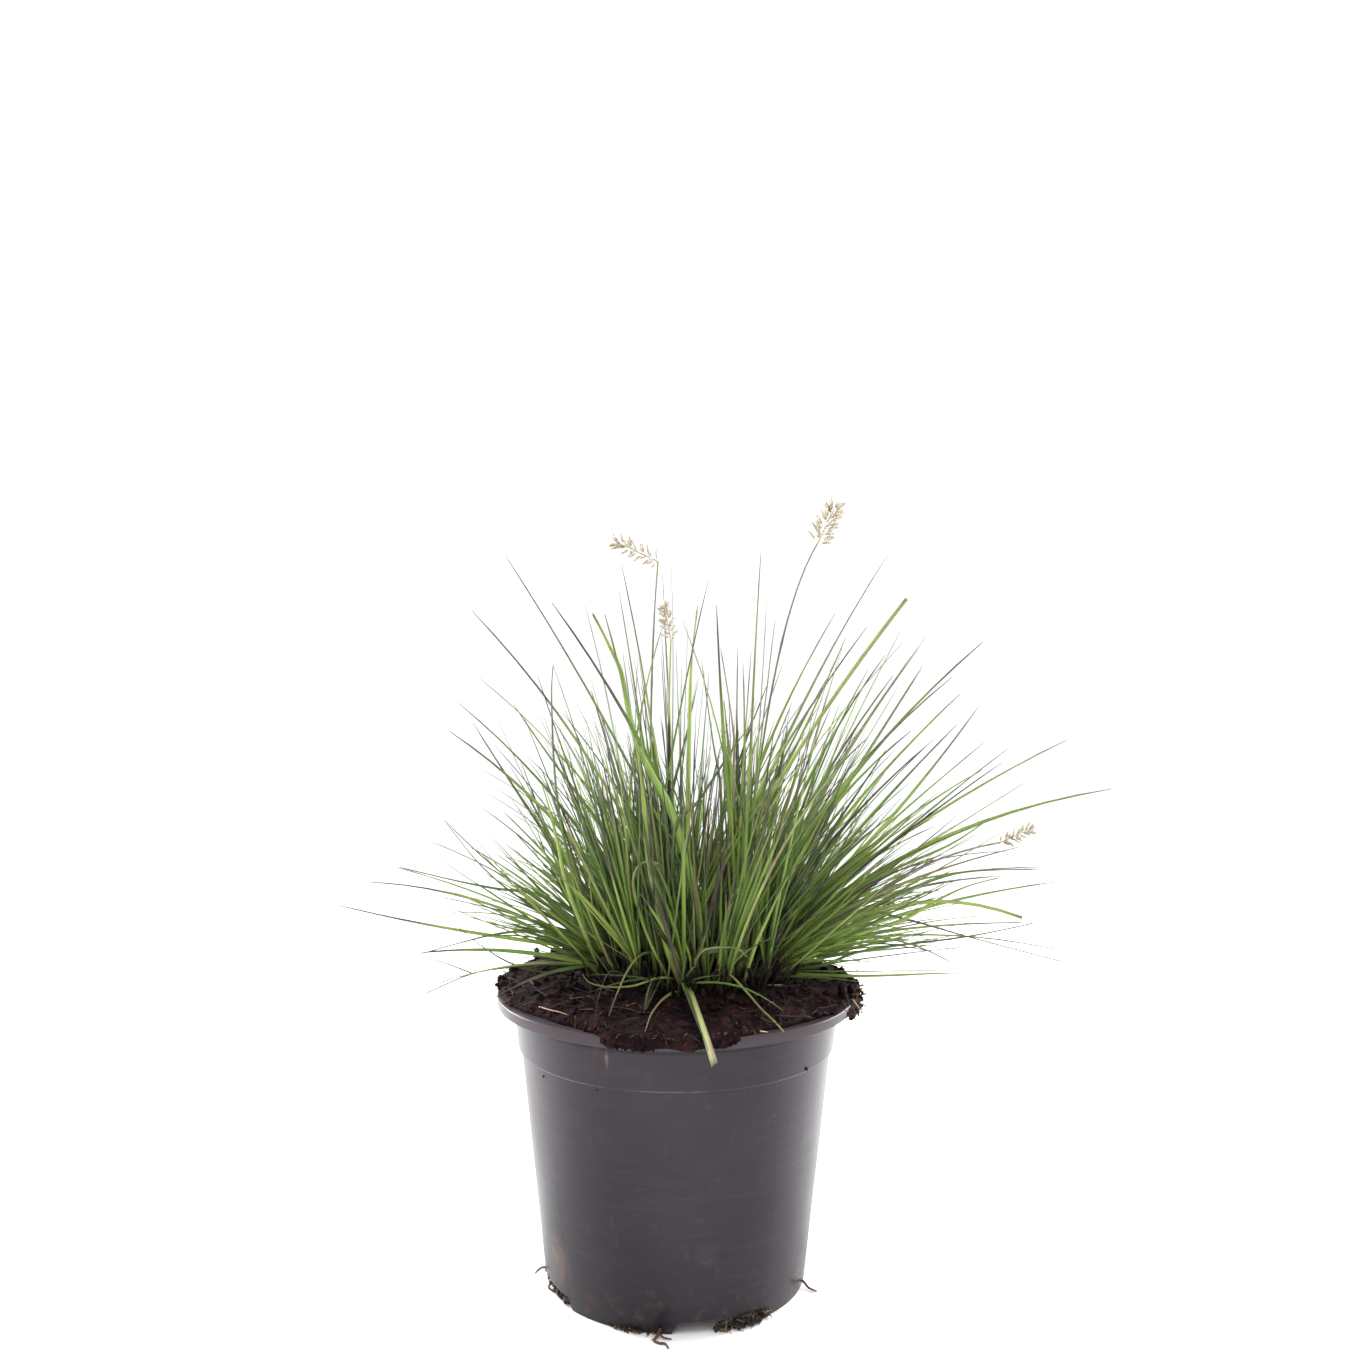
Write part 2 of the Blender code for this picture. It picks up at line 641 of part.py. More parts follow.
def stem_points(stem):
    """A flowering stem's middle line, bowed through the point half-way up."""
    _, foot, half_way, top, _ = stem
    low = Vector((*foot, 0)) * MM + UP * (CROWN_TOP + GAP)
    passing, high = Vector(half_way) * MM, Vector(top) * MM
    crest = passing * 2 - (low + high) / 2
    return [bow_point(low, crest, high, i / (STEM_POINTS - 1)) for i in range(STEM_POINTS)]


def build_stem(stem, material):
    curve = bpy.data.curves.new(f"flower_stem_{stem[0]}", "CURVE")
    curve.dimensions = "3D"
    curve.bevel_depth = STEM_RADIUS
    curve.bevel_resolution = 0
    curve.use_fill_caps = True
    points = stem_points(stem)
    points[0] += UP * STEM_RADIUS
    line = curve.splines.new("POLY")
    line.points.add(len(points) - 1)
    for number, (place, point) in enumerate(zip(line.points, points)):
        place.co = (*point, 1)
        place.radius = 1.0 - 0.3 * number / (len(points) - 1)
    curve.materials.append(material)
    thing = bpy.data.objects.new(curve.name, curve)
    bpy.context.scene.collection.objects.link(thing)
    return thing


def build_plume(stem, material):
    """A flower head: a slim core whose side faces are drawn out into pointed spikelets."""
    name, _, _, top, tip = stem
    start, end = Vector(top) * MM, Vector(tip) * MM
    axis = (end - start).normalized()
    start = start + axis * (GAP + STEM_RADIUS)
    length = (end - start).length * 0.85
    turn = axis.to_track_quat("Z", "Y").to_matrix().to_4x4()
    rings = []
    for k in range(PLUME_RINGS):
        t = k / (PLUME_RINGS - 1)
        radius = PLUME_CORE * (0.55 + 0.9 * math.sin(math.pi * (0.15 + 0.8 * t)))
        rings.append([
            polar(radius, math.tau * (i + 0.5 * (k % 2)) / PLUME_SIDES, length * t)
            for i in range(PLUME_SIDES)
        ])
    bm = bmesh.new()
    ring_body(bm, rings, Vector((0, 0, -0.2 * MM)), Vector((0, 0, length + 2 * MM)))
    quads = [face for face in bm.faces if len(face.verts) == 4]
    for face in quads[0 if name == "left" else 1::2]:
        centre = face.calc_center_median()
        out = Vector((centre.x, centre.y, 0)).normalized()
        t = centre.z / length
        way = (out * (0.85 - 0.35 * t) + UP * (0.6 + 0.4 * t)).normalized()
        reach = SPIKELET * (1.0 - 0.35 * t)
        grown = bmesh.ops.extrude_discrete_faces(bm, faces=[face])["faces"][0]
        for corner in grown.verts:
            corner.co = centre + way * reach * 0.45 + (corner.co - centre) * 0.62
        grown = bmesh.ops.extrude_discrete_faces(bm, faces=[grown])["faces"][0]
        bmesh.ops.pointmerge(bm, verts=list(grown.verts), merge_co=centre + way * reach)
    bmesh.ops.transform(bm, matrix=Matrix.Translation(start) @ turn, verts=bm.verts)
    return object_from(f"flower_plume_{name}", bm, material)


def build_root_mat(name, angle, half_angle, depth, height, material):
    """A lump of peat held by roots, lying round the pot's foot just outside the wall."""
    noise = random.Random(len(name) + int(angle))
    rings = []
    for i in range(ROOT_MAT_STEPS):
        t = i / (ROOT_MAT_STEPS - 1)
        turn = math.radians(angle + half_angle * (2 * t - 1))
        swell = math.sin(math.pi * (0.12 + 0.76 * t))
        inner = BASE_RADIUS + 0.8 * MM
        far = inner + depth * swell * noise.uniform(0.7, 1.15) + 1.0 * MM
        top = GAP + height * swell * noise.uniform(0.75, 1.1) * 0.8 + 0.6 * MM
        rings.append([
            polar(inner + 0.1 * MM, turn, GAP),
            polar(far, turn, GAP),
            polar((inner + far) / 2 + 0.8 * MM, turn, top),
            polar(inner + 1.2 * MM, turn, top * 0.8),
        ])
    bm = bmesh.new()
    ends = [
        polar(BASE_RADIUS + 3 * MM, math.radians(angle + side * (half_angle + 2.5)), 1.2 * MM)
        for side in (-1, 1)
    ]
    ring_body(bm, rings, *ends)
    return object_from(name, bm, material)


def main():
    clear_scene()
    build_pot()
    build_peat()
    build_crown()
    leaf, stem_finish, plume, peat = leaf_green(), stem_green(), plume_cream(), peat_brown()
    tufts = grow_tufts()
    for number, tuft in enumerate(tufts):
        build_tuft(f"leaf_tuft_{number + 1:02d}", tuft, leaf)
    for stem in STEMS:
        build_stem(stem, stem_finish)
        build_plume(stem, plume)
    for mat in ROOT_MATS:
        build_root_mat(*mat, peat)
    print("leaves", sum(len(tuft["leaves"]) for tuft in tufts), "in", len(tufts), "tufts")


main()
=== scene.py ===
# %% [markdown]
# # Dressing a potted fountain grass
# A young clump of fountain grass stands in a dark nursery pot. The plain solids of its parts are
# already modelled. This lesson loads them as a fixed frame and gives every part its real surface:
# folded leaf blades, bristly flower heads, crumbly peat with roots, and scuffed moulded plastic.
# Run the cells in order. Each one prints what it made, so that you can follow along.

# %% Load the frame
import math
import random

import bmesh
import bpy
from mathutils import Matrix, Vector, noise


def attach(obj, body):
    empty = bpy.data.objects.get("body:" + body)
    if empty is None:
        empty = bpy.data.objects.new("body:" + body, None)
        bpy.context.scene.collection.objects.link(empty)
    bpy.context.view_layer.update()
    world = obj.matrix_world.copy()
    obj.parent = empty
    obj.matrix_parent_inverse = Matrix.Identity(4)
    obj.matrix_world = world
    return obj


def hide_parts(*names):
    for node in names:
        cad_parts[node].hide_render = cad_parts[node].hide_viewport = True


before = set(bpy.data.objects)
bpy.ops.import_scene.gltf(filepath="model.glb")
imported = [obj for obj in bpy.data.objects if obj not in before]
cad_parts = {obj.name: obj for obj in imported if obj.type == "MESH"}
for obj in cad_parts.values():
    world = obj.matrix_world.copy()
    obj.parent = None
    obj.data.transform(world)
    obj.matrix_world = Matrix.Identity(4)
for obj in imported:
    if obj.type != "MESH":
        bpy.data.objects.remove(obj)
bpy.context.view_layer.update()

MM = 0.001
UP = Vector((0, 0, 1))


def in_mm(point):
    return Vector(point) * MM


# %% [markdown]
# ## A heap that becomes a mesh
# Grass, peat and bristles are many small shapes of one kind. Blender could scatter them as
# particles or instances, but those are lost when the model goes elsewhere. So each small shape is
# a short list of points and faces, and a heap collects them into one real mesh. A heap also keeps
# a few numbers for each point, such as how far along its leaf it lies, for the materials to read.


# %% The heap
class Heap:
    def __init__(self, *traits):
        self.points, self.faces = [], []
        self.traits = {trait: [] for trait in traits}

    def add(self, points, faces, **values):
        start = len(self.points)
        self.points += [tuple(point) for point in points]
        self.faces += [[start + corner for corner in face] for face in faces]
        for trait, kept in self.traits.items():
            value = values[trait]
            kept.extend(value if isinstance(value, list) else [value] * len(points))

    def piece(self, name, material, slot, *stands_for):
        """One finished object that rides on the plant and takes the place of plain solids."""
        mesh = bpy.data.meshes.new(name)
        mesh.from_pydata(self.points, [], self.faces)
        for trait, values in self.traits.items():
            mesh.attributes.new(trait, "FLOAT", "POINT").data.foreach_set("value", values)
        mesh.polygons.foreach_set("use_smooth", [True] * len(mesh.polygons))
        mesh.materials.append(material)
        thing = bpy.data.objects.new(name, mesh)
        bpy.context.scene.collection.objects.link(thing)
        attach(thing, "root")
        if stands_for:
            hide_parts(*stands_for)
        return thing


# %% [markdown]
# ## Points, lofts and tubes
# Nearly every shape here is a row of rings. A loft joins rings of equal length and closes both
# ends. A tube is a loft whose rings are small circles that stand square to a line. A few helpers
# for points come first: a turn round the axis, a random stray and the curve between two ends.


# %% Points and curves
def polar(radius, angle, z):
    return Vector((radius * math.cos(angle), radius * math.sin(angle), z))


def turns(count):
    return [math.tau * i / count for i in range(count)]


def stray(rng, most=1.0):
    return Vector([rng.uniform(-most, most) for _ in range(3)])


def bow(start, crest, end, t):
    """The point at share t of a curve that sets off towards the crest and comes in from it."""
    return start * (1 - t) ** 2 + crest * (2 * t * (1 - t)) + end * t**2


# %% Lofts and tubes
def loft(rings):
    """Points and faces of a closed body through a row of rings."""
    count = len(rings[0])
    points = [point for ring in rings for point in ring]
    faces = []
    for k in range(len(rings) - 1):
        low, high = k * count, (k + 1) * count
        faces += [(low + i, low + (i + 1) % count, high + (i + 1) % count, high + i) for i in range(count)]
    last = len(points) - count
    return points, [list(range(count))[::-1]] + faces + [list(range(last, last + count))]


def directions(line):
    """The unit direction of a line at each of its points."""
    ends = [(line[max(i - 1, 0)], line[min(i + 1, len(line) - 1)]) for i in range(len(line))]
    return [(after - before).normalized() for before, after in ends]


def tube(line, radii, sides):
    rings = []
    side = None
    for point, along, radius in zip(line, directions(line), radii):
        side = along.orthogonal() if side is None else side - along * side.dot(along)
        side.normalize()
        across = along.cross(side)
        rings.append([point + (side * math.cos(a) + across * math.sin(a)) * radius for a in turns(sides)])
    return loft(rings)


def wandering_line(rng, start, way, length, steps, bend):
    """A line that sets off one way and strays a little at every step, like a root."""
    points, way = [start.copy()], way.normalized()
    for _ in range(steps):
        way = (way + stray(rng, bend)).normalized()
        points.append(points[-1] + way * (length / steps))
    return points


# %% [markdown]
# ## A small kit for materials
# A material is a graph of nodes. Built by hand in the editor it takes many clicks, and in code it
# takes many lines, so a little class shortens the common steps: noise, colour ramps, mixing and
# sums. Every number that is the same all over a surface is set on the shader's own socket.


# %% The material kit
class Finish:
    def __init__(self, name):
        self.material = bpy.data.materials.new(name)
        self.material.use_nodes = True
        self.tree = self.material.node_tree
        self.shader = self.tree.nodes["Principled BSDF"]
        self.place = self.node("ShaderNodeTexCoord").outputs["Object"]

    def node(self, kind, values=None, **settings):
        made = self.tree.nodes.new(kind)
        for setting, value in settings.items():
            setattr(made, setting, value)
        for socket, value in (values or {}).items():
            self.feed(made.inputs[socket], value)
        return made

    def feed(self, socket, value):
        if isinstance(value, bpy.types.NodeSocket):
            self.tree.links.new(value, socket)
        else:
            socket.default_value = value

    def sum(self, operation, a, b=0.0, c=0.0):
        return self.node("ShaderNodeMath", {0: a, 1: b, 2: c}, operation=operation).outputs[0]

    def times(self, a, b):
        return self.sum("MULTIPLY", a, b)

    def noise(self, scale, detail=3.0, rough=0.5, place=None):
        values = {"Vector": place or self.place, "Scale": scale, "Detail": detail, "Roughness": rough}
        return self.node("ShaderNodeTexNoise", values).outputs["Fac"]

    def cells(self, scale, place=None):
        values = {"Vector": place or self.place, "Scale": scale}
        return self.node("ShaderNodeTexVoronoi", values).outputs["Distance"]

    def stretched(self, scales):
        values = {"Vector": self.place, "Scale": scales}
        return self.node("ShaderNodeMapping", values).outputs["Vector"]

    def number(self, trait):
        return self.node("ShaderNodeAttribute", attribute_name=trait).outputs["Fac"]

    def band(self, value, low, high, out_low=0.0, out_high=1.0):
        values = {0: value, 1: low, 2: high, 3: out_low, 4: out_high}
        return self.node("ShaderNodeMapRange", values, interpolation_type="SMOOTHSTEP").outputs[0]

    def stripe(self, value, start, full, fading, end):
        """1 between two values, fading to 0 on both sides."""
        return self.times(self.band(value, start, full), self.band(value, fading, end, 1.0, 0.0))

    def ramp(self, value, *stops):
        made = self.node("ShaderNodeValToRGB", {"Fac": value})
        ramp = made.color_ramp
        for number, (place, colour) in enumerate(stops):
            stop = ramp.elements[number] if number < 2 else ramp.elements.new(place)
            stop.position, stop.color = place, (*colour, 1)
        return made.outputs["Color"]

    def blend(self, share, a, b):
        made = self.node("ShaderNodeMix", data_type="RGBA")
        for socket, value in ((0, share), (6, a), (7, b)):
            self.feed(made.inputs[socket], (*value, 1) if isinstance(value, tuple) else value)
        return made.outputs[2]

    def near(self, spot, inner, outer, place=None):
        """1 close to a spot on the object, fading to 0 further off."""
        away = self.node("ShaderNodeVectorMath", {0: place or self.place, 1: spot}, operation="DISTANCE")
        return self.band(away.outputs["Value"], inner, outer, 1.0, 0.0)

    def speckled(self, tone, speckles, amount):
        """The tone, a little higher and lower by the speckles."""
        return self.sum("MULTIPLY_ADD", speckles, amount, self.sum("SUBTRACT", tone, amount / 2))

    def bump(self, height, depth):
        return self.node("ShaderNodeBump", {"Height": height, "Strength": 1.0, "Distance": depth}).outputs[0]

    def finish(self, **sockets):
        for socket, value in sockets.items():
            socket = self.shader.inputs[socket.replace("_", " ")]
            self.feed(socket, (*value, 1) if isinstance(value, tuple) and len(value) == 3
                      and socket.type == "RGBA" else value)
        return self.material


# %% [markdown]
# ## Camera
# The photograph was taken from a little above the leaves, with the pot low in the picture. The
# camera's place and lens were worked out from the pot: its lip, collar, foot and sloping sides
# give enough curves to fit a pinhole camera to. It comes first.

# %% The camera
IMAGE_PIXELS = 1366
FOCAL_PIXELS = 1493.5
SENSOR = 36.0
camera = bpy.data.objects.new("camera", bpy.data.cameras.new("camera"))
camera.data.sensor_width = SENSOR
camera.data.lens = SENSOR * FOCAL_PIXELS / IMAGE_PIXELS
camera.location = (0.0043, -0.80, 0.389)
LOOKS_DOWN = 4.51
camera.rotation_euler = (math.radians(90 - LOOKS_DOWN), 0, 0)
bpy.context.scene.collection.objects.link(camera)
bpy.context.scene.camera = camera
print("lens", round(camera.data.lens, 2), "mm")

# %% [markdown]
# ## Floor and light
# The picture is a studio shot on white: the floor is so bright that it melts into the background,
# and the pot's two edges shine because white walls stand on both sides. A pale floor under a pale
# sky does the first, and two tall soft panels do the second. They throw their light towards the
# pot only: a floor that is far brighter than white would eat the thin leaves in front of it.

# %% Floor, sky and panels
FLOOR_SIDE, FLOOR_FRONT, FLOOR_BACK = 12, -4, 12
floor_mesh = bpy.data.meshes.new("floor")
corners = [(-FLOOR_SIDE, FLOOR_FRONT, 0), (FLOOR_SIDE, FLOOR_FRONT, 0), (FLOOR_SIDE, FLOOR_BACK, 0),
           (-FLOOR_SIDE, FLOOR_BACK, 0)]
floor_mesh.from_pydata(corners, [], [(0, 1, 2, 3)])
floor = bpy.data.objects.new("floor", floor_mesh)
bpy.context.scene.collection.objects.link(floor)

paper = Finish("floor_paper")
paper_tone = paper.ramp(paper.noise(9.0, 4.0), (0.3, (0.90, 0.90, 0.90)), (0.7, (0.93, 0.93, 0.93)))
floor_mesh.materials.append(paper.finish(Base_Color=paper_tone, Roughness=0.9))

sky = bpy.data.worlds.new("white_room")
sky.use_nodes = True
sky.node_tree.nodes["Background"].inputs["Color"].default_value = (1, 1, 1, 1)
SKY_STRENGTH = 1.18
sky.node_tree.nodes["Background"].inputs["Strength"].default_value = SKY_STRENGTH
bpy.context.scene.world = sky

PANELS = (  # name, place, the point it faces, width, height, watts, spread of its light in degrees
    ("panel_left", (-1.25, 0.75, 0.5), (0, 0, 0.15), 1.0, 1.5, 17, 90),
    ("panel_right", (1.25, 0.75, 0.5), (0, 0, 0.15), 1.0, 1.5, 18.3, 90),
    ("panel_top", (0, -0.3, 1.7), (0, 0, 0.2), 1.4, 1.4, 12, 180),
)
for name, place, aim, width, height, watts, spread in PANELS:
    light = bpy.data.lights.new(name, "AREA")
    light.shape = "RECTANGLE"
    light.size, light.size_y, light.energy, light.spread = width, height, watts, math.radians(spread)
    lamp = bpy.data.objects.new(name, light)
    lamp.location = place
    lamp.rotation_euler = (Vector(aim) - Vector(place)).to_track_quat("-Z", "Y").to_euler()
    bpy.context.scene.collection.objects.link(lamp)
bpy.context.scene.view_settings.view_transform = "Standard"
print("floor, sky and", len(PANELS), "panels")

# %% [markdown]
# ## Leaf material
# A leaf of this grass is mid green with a paler midrib and fine lengthwise veins. It starts pale
# or purplish in its sheath, some leaves are yellower or darker than others, and the tips dry to
# a grey-brown. Each of these has its own number on the mesh: along, across, tone and dry.


# %% Leaf material
def leaf_finish():
    leaf = Finish("leaf_blade")
    along, across = leaf.number("along"), leaf.number("across")
    tone, dry = leaf.number("tone"), leaf.number("dry")
    patches = leaf.noise(38.0, 2.0)
    mixed = leaf.speckled(tone, patches, 0.50)
    green = leaf.ramp(
        mixed, (0.0, (0.045, 0.070, 0.030)), (0.28, (0.115, 0.205, 0.042)), (0.52, (0.235, 0.375, 0.062)),
        (0.74, (0.390, 0.520, 0.105)), (0.90, (0.300, 0.290, 0.130)), (1.0, (0.290, 0.180, 0.095)),
    )
    side = leaf.sum("ABSOLUTE", across)
    midrib = leaf.band(side, 0.04, 0.20, 0.45, 0.0)
    green = leaf.blend(midrib, green, (0.42, 0.52, 0.20))
    veins = leaf.sum("SINE", leaf.times(across, 26.0))
    green = leaf.blend(leaf.band(veins, -0.2, 1.0, 0.0, 0.22), green, (0.020, 0.045, 0.015))
    sheath = leaf.ramp(leaf.noise(60.0, 2.0), (0.35, (0.115, 0.085, 0.055)), (0.65, (0.20, 0.23, 0.085)))
    green = leaf.blend(leaf.band(along, 0.03, 0.13, 0.85, 0.0), green, sheath)
    tip = leaf.ramp(leaf.noise(70.0, 2.0), (0.35, (0.075, 0.063, 0.060)), (0.65, (0.190, 0.160, 0.100)))
    worn = leaf.sum("ADD", dry, leaf.times(patches, 0.05))
    green = leaf.blend(leaf.band(leaf.sum("SUBTRACT", along, worn), -0.06, 0.10), green, tip)
    rough = leaf.band(patches, 0.3, 0.7, 0.38, 0.55)
    ribbed = leaf.bump(leaf.sum("MULTIPLY_ADD", veins, 0.5, leaf.times(side, 0.8)), 0.00012)
    return leaf.finish(Base_Color=green, Roughness=rough, Normal=ribbed, Specular_IOR_Level=0.4)


leaf_blade = leaf_finish()
print("leaf material:", len(leaf_blade.node_tree.nodes), "nodes")

# %% [markdown]
# ## Where the leaves run
# Every plain tuft is a short sheath with leaves drawn out of its top, and each leaf is a few
# three-cornered rings that end in a point. So the plain solids already say where each leaf runs.
# Walking from a tip down ring by ring gives them back: a tip has three neighbours, and the corner
# where the leaves of one sheath meet, the hub, has the most.

# %% Reading the plain tufts
MIDDLE_RING = {2: (1, 0.55), 3: (1, 0.40)}  # which ring shapes a leaf's bow, and how far along it is
TIP_REACH = 4 * MM


def solid_of(node):
    bm = bmesh.new()
    bm.from_mesh(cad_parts[node].data)
    bmesh.ops.remove_doubles(bm, verts=bm.verts, dist=0.01 * MM)
    return bm


def neighbours(corners):
    return {edge.other_vert(corner) for corner in corners for edge in corner.link_edges} - set(corners)


def in_order(corners):
    """Corners in a fixed order, so that every run adds them up alike."""
    return sorted(corners, key=lambda corner: corner.index)


def widest_pair(ring):
    pairs = [(a.co, b.co) for a in ring for b in ring if a is not b]
    return max(pairs, key=lambda pair: (pair[0] - pair[1]).length)


def leaf_lines(node):
    """Foot, tip, bow and width of each leaf of a plain tuft, and the middle of its sheath's foot."""
    bm = solid_of(node)
    hub = max(bm.verts, key=lambda corner: len(corner.link_edges) + corner.co.z)
    low = min(corner.co.z for corner in bm.verts)
    feet = [corner.co.copy() for corner in bm.verts if corner.co.z < low + 0.1 * MM]
    leaves = []
    for tip in bm.verts:
        nearest = min(edge.calc_length() for edge in tip.link_edges)
        if len(tip.link_edges) != 3 or nearest < TIP_REACH:
            continue
        seen, ring, rings = {tip}, neighbours([tip]), []
        while hub not in ring:
            rings.insert(0, in_order(ring))
            seen |= ring
            ring = neighbours(rings[0]) - seen
        foot = sum((corner.co for corner in in_order(ring)), Vector()) / len(ring)
        number, t = MIDDLE_RING[len(rings)]
        middle = sum((corner.co for corner in rings[number]), Vector()) / 3
        crest = (middle - foot * (1 - t) ** 2 - tip.co * t**2) / (2 * t * (1 - t))  # a bow passes the middle
        left, right = widest_pair(rings[number])
        leaves.append({
            "foot": foot, "tip": tip.co.copy(), "crest": crest,
            "across": (right - left).normalized(), "width": (right - left).length,
        })
    bm.free()
    return sum(feet, Vector()) / len(feet), sorted(leaves, key=lambda leaf: -leaf["width"])


tuft_names = sorted(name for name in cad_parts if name.startswith("leaf_tuft"))
tufts = {name: leaf_lines(name) for name in tuft_names}
print(len(tufts), "tufts with", sum(len(leaves) for _, leaves in tufts.values()), "leaves")

# %% [markdown]
# ## One leaf blade
# A grass blade is a long strip, folded along its midrib, widest below the middle and drawn out
# to a hair. A flat ribbon would vanish edge-on and can't be folded, so each ring of the blade has
# eight points: five over the top and three underneath. The fold is deep, as it is on this grass,
# and it keeps a leaf visible from every side. The blade twists a little as it goes.

# %% One leaf blade
LEAF_THICK = 0.30 * MM
BASE_SHARE = 0.10  # the stretch inside the sheath, as a share of the drawn leaf
BLADE_RING = [(u, 1) for u in (-1.0, -0.5, 0.0, 0.5, 1.0)] + [(u, -1) for u in (0.5, 0.0, -0.5)]


def blade_line(leaf, base, wave, droop, steps):
    """Points from inside the sheath, out of its top and along the bow to the tip."""
    foot, crest, tip = leaf["foot"], leaf["crest"], leaf["tip"]
    length = (tip - foot).length
    points = []
    for i in range(steps):
        s = i / (steps - 1)
        if s < BASE_SHARE:
            points.append(base.lerp(foot, s / BASE_SHARE))
            continue
        t = (s - BASE_SHARE) / (1 - BASE_SHARE)
        point = bow(foot, crest, tip, t) + leaf["across"] * (wave * length * math.sin(math.tau * t) * t)
        points.append(point - UP * (droop * length * t**3))
    return points


def blade_width(t, blunt):
    """Share of the full width: narrow in the sheath, full by a tenth, then a long taper."""
    opening = min(1.0, 0.55 + 3.5 * t)
    if blunt:
        return opening * (1 + (blunt - 1) * t)
    return opening * (0.10 if t == 1 else max(0.30, 1 - 0.95 * t**2))


def add_blade(heap, line, across, width, fold, twist, blunt=0.0, **traits):
    """Adds one blade to a heap. A blunt one has no tip: its last width is that share of its first."""
    rings, alongs, acrosses = [], [], []
    for i, (point, along) in enumerate(zip(line, directions(line))):
        t = i / (len(line) - 1)
        side = (across - along * across.dot(along)).normalized()
        side = Matrix.Rotation(twist * t, 3, along) @ side
        inward = along.cross(side)
        half = width / 2 * blade_width(t, blunt)
        thick = min(LEAF_THICK, half * 0.7)
        gutter = fold * (1 - 0.3 * t) * half
        ring = []
        for u, face in BLADE_RING:
            lift = gutter * abs(u) + face * thick / 2 * (1 - u * u)
            ring.append(point + side * u * half + inward * lift)
        rings.append(ring)
        alongs += [t] * len(ring)
        acrosses += [u for u, _ in BLADE_RING]
    heap.add(*loft(rings), along=alongs, across=acrosses, **traits)


# %% [markdown]
# ## The tufts
# The leaves of a plain tuft are the ones that matter from a step away. Between them the real
# clump has finer leaves, so each tuft grows some more around its own, a little shorter and
# thinner. Three blades in the picture were cut off square, and a few low ones lie dry and pale.

# %% Kinds of leaves
FINE_LEAVES = 9
DARKEST_TONE = 0.02
LONG_STEPS, SHORT_STEPS = 14, 10
SHORT_BLADE = 70 * MM
TO_VIEWER = Vector((0, -1, 0))  # the cut blades turn their flat side this way
CUT_BLADES = {  # by tuft: rough end of the blade, width, share of it at the end, tone, dry from, reach, rise
    "leaf_tuft_02": ((118, -40, 372), 2.2, 0.85, 0.84, 0.975, 0, 0),
    "leaf_tuft_03": ((20, -122, 159), 2.3, 1.80, 0.86, 0.93, 5, 0),
    "leaf_tuft_27": ((175, -60, 212), 2.3, 0.80, 0.80, 0.95, 0, 24),
}
DRY_FROM = (0.45, 0.75, 0.82, 0.88, 0.92, 0.95, 0.98)  # the share of a fine leaf's length that stays green
OWN_DRY_FROM = (0.64, 0.72, 0.78, 0.84, 0.90, 0.95)  # and of the tuft's own
NEVER_DRY = 1.2
OLD_TUFTS = {  # dull and thin ones, with their tone
    "leaf_tuft_03": 0.26, "leaf_tuft_12": 0.12, "leaf_tuft_34": 0.22, "leaf_tuft_35": 0.10,
    "leaf_tuft_36": 0.20,
}
print(len(CUT_BLADES), "cut blades and", len(OLD_TUFTS), "old tufts")


# %% Dressing the tufts
def random_tone(rng, middle, spread, lightest):
    return min(lightest, max(DARKEST_TONE, rng.gauss(middle, spread)))


def fine_leaf(rng, leaf):
    """A thinner leaf that leans away from one of the tuft's own."""
    chord = leaf["tip"] - leaf["foot"]
    lean = stray(rng)
    way = (chord.normalized() + lean * rng.uniform(0.03, 0.36)).normalized()
    length = chord.length * rng.uniform(0.35, 0.88)
    foot = leaf["foot"] + lean * 0.8 * MM
    tip = foot + way * length
    sag = leaf["crest"] - (leaf["foot"] + leaf["tip"]) / 2
    return {**leaf, "foot": foot, "tip": tip, "crest": (foot + tip) / 2 + sag * length / chord.length,
            "width": rng.uniform(1.3, 2.3) * MM}


def dress_tuft(name):
    base, leaves = tufts[name]
    rng = random.Random(name)
    heap = Heap("along", "across", "tone", "dry")
    old = OLD_TUFTS.get(name)
    cut = None
    if name in CUT_BLADES:
        cut_end, cut_width, cut_share, cut_tone, cut_dry, reach, rise = CUT_BLADES[name]
        cut = min(leaves, key=lambda leaf: (leaf["tip"] - in_mm(cut_end)).length)
        cut["tip"] += (cut["tip"] - cut["foot"]).normalized() * reach * MM
        cut["crest"] += UP * rise * MM
    grown = [(leaf, leaf is cut, True) for leaf in leaves]
    grown += [(fine_leaf(rng, rng.choice(leaves)), False, False) for _ in range(0 if old else FINE_LEAVES)]
    for leaf, is_cut, is_own in grown:
        tone = random_tone(rng, 0.47, 0.20, 0.86) if old is None else old + rng.uniform(-0.08, 0.08)
        steps = LONG_STEPS if (leaf["tip"] - leaf["foot"]).length > SHORT_BLADE else SHORT_STEPS
        wave = rng.uniform(-0.012, 0.012) * (0.4 if is_own else 1.0)
        droop = 0.0 if is_own else rng.uniform(-0.01, 0.05)
        line = blade_line(leaf, base + (leaf["foot"] - base) * 0.1, wave, droop, steps)
        width = cut_width * MM if is_cut else leaf["width"] * rng.uniform(1.0, 1.3) * (0.6 if old else 1.0)
        chord = (leaf["tip"] - leaf["foot"]).normalized()
        roll = Matrix.Rotation(rng.gauss(0, 0.7), 3, chord)
        across = chord.cross(TO_VIEWER) if is_cut else roll @ leaf["across"]
        twist = rng.uniform(-0.2, 0.2) if is_cut else rng.uniform(-0.8, 0.8)
        fold = 0.35 if is_cut else rng.uniform(0.6, 1.0)
        dry = cut_dry if is_cut else NEVER_DRY if old else rng.choice(OWN_DRY_FROM if is_own else DRY_FROM)
        add_blade(heap, line, across, width, fold, twist, cut_share if is_cut else 0.0,
                  tone=cut_tone if is_cut else tone, dry=dry)
    return heap.piece(name.replace("leaf_tuft", "leaves"), leaf_blade, "leaf", name)


blades = [dress_tuft(name) for name in tuft_names]
print("leaf faces", sum(len(piece.data.polygons) for piece in blades))

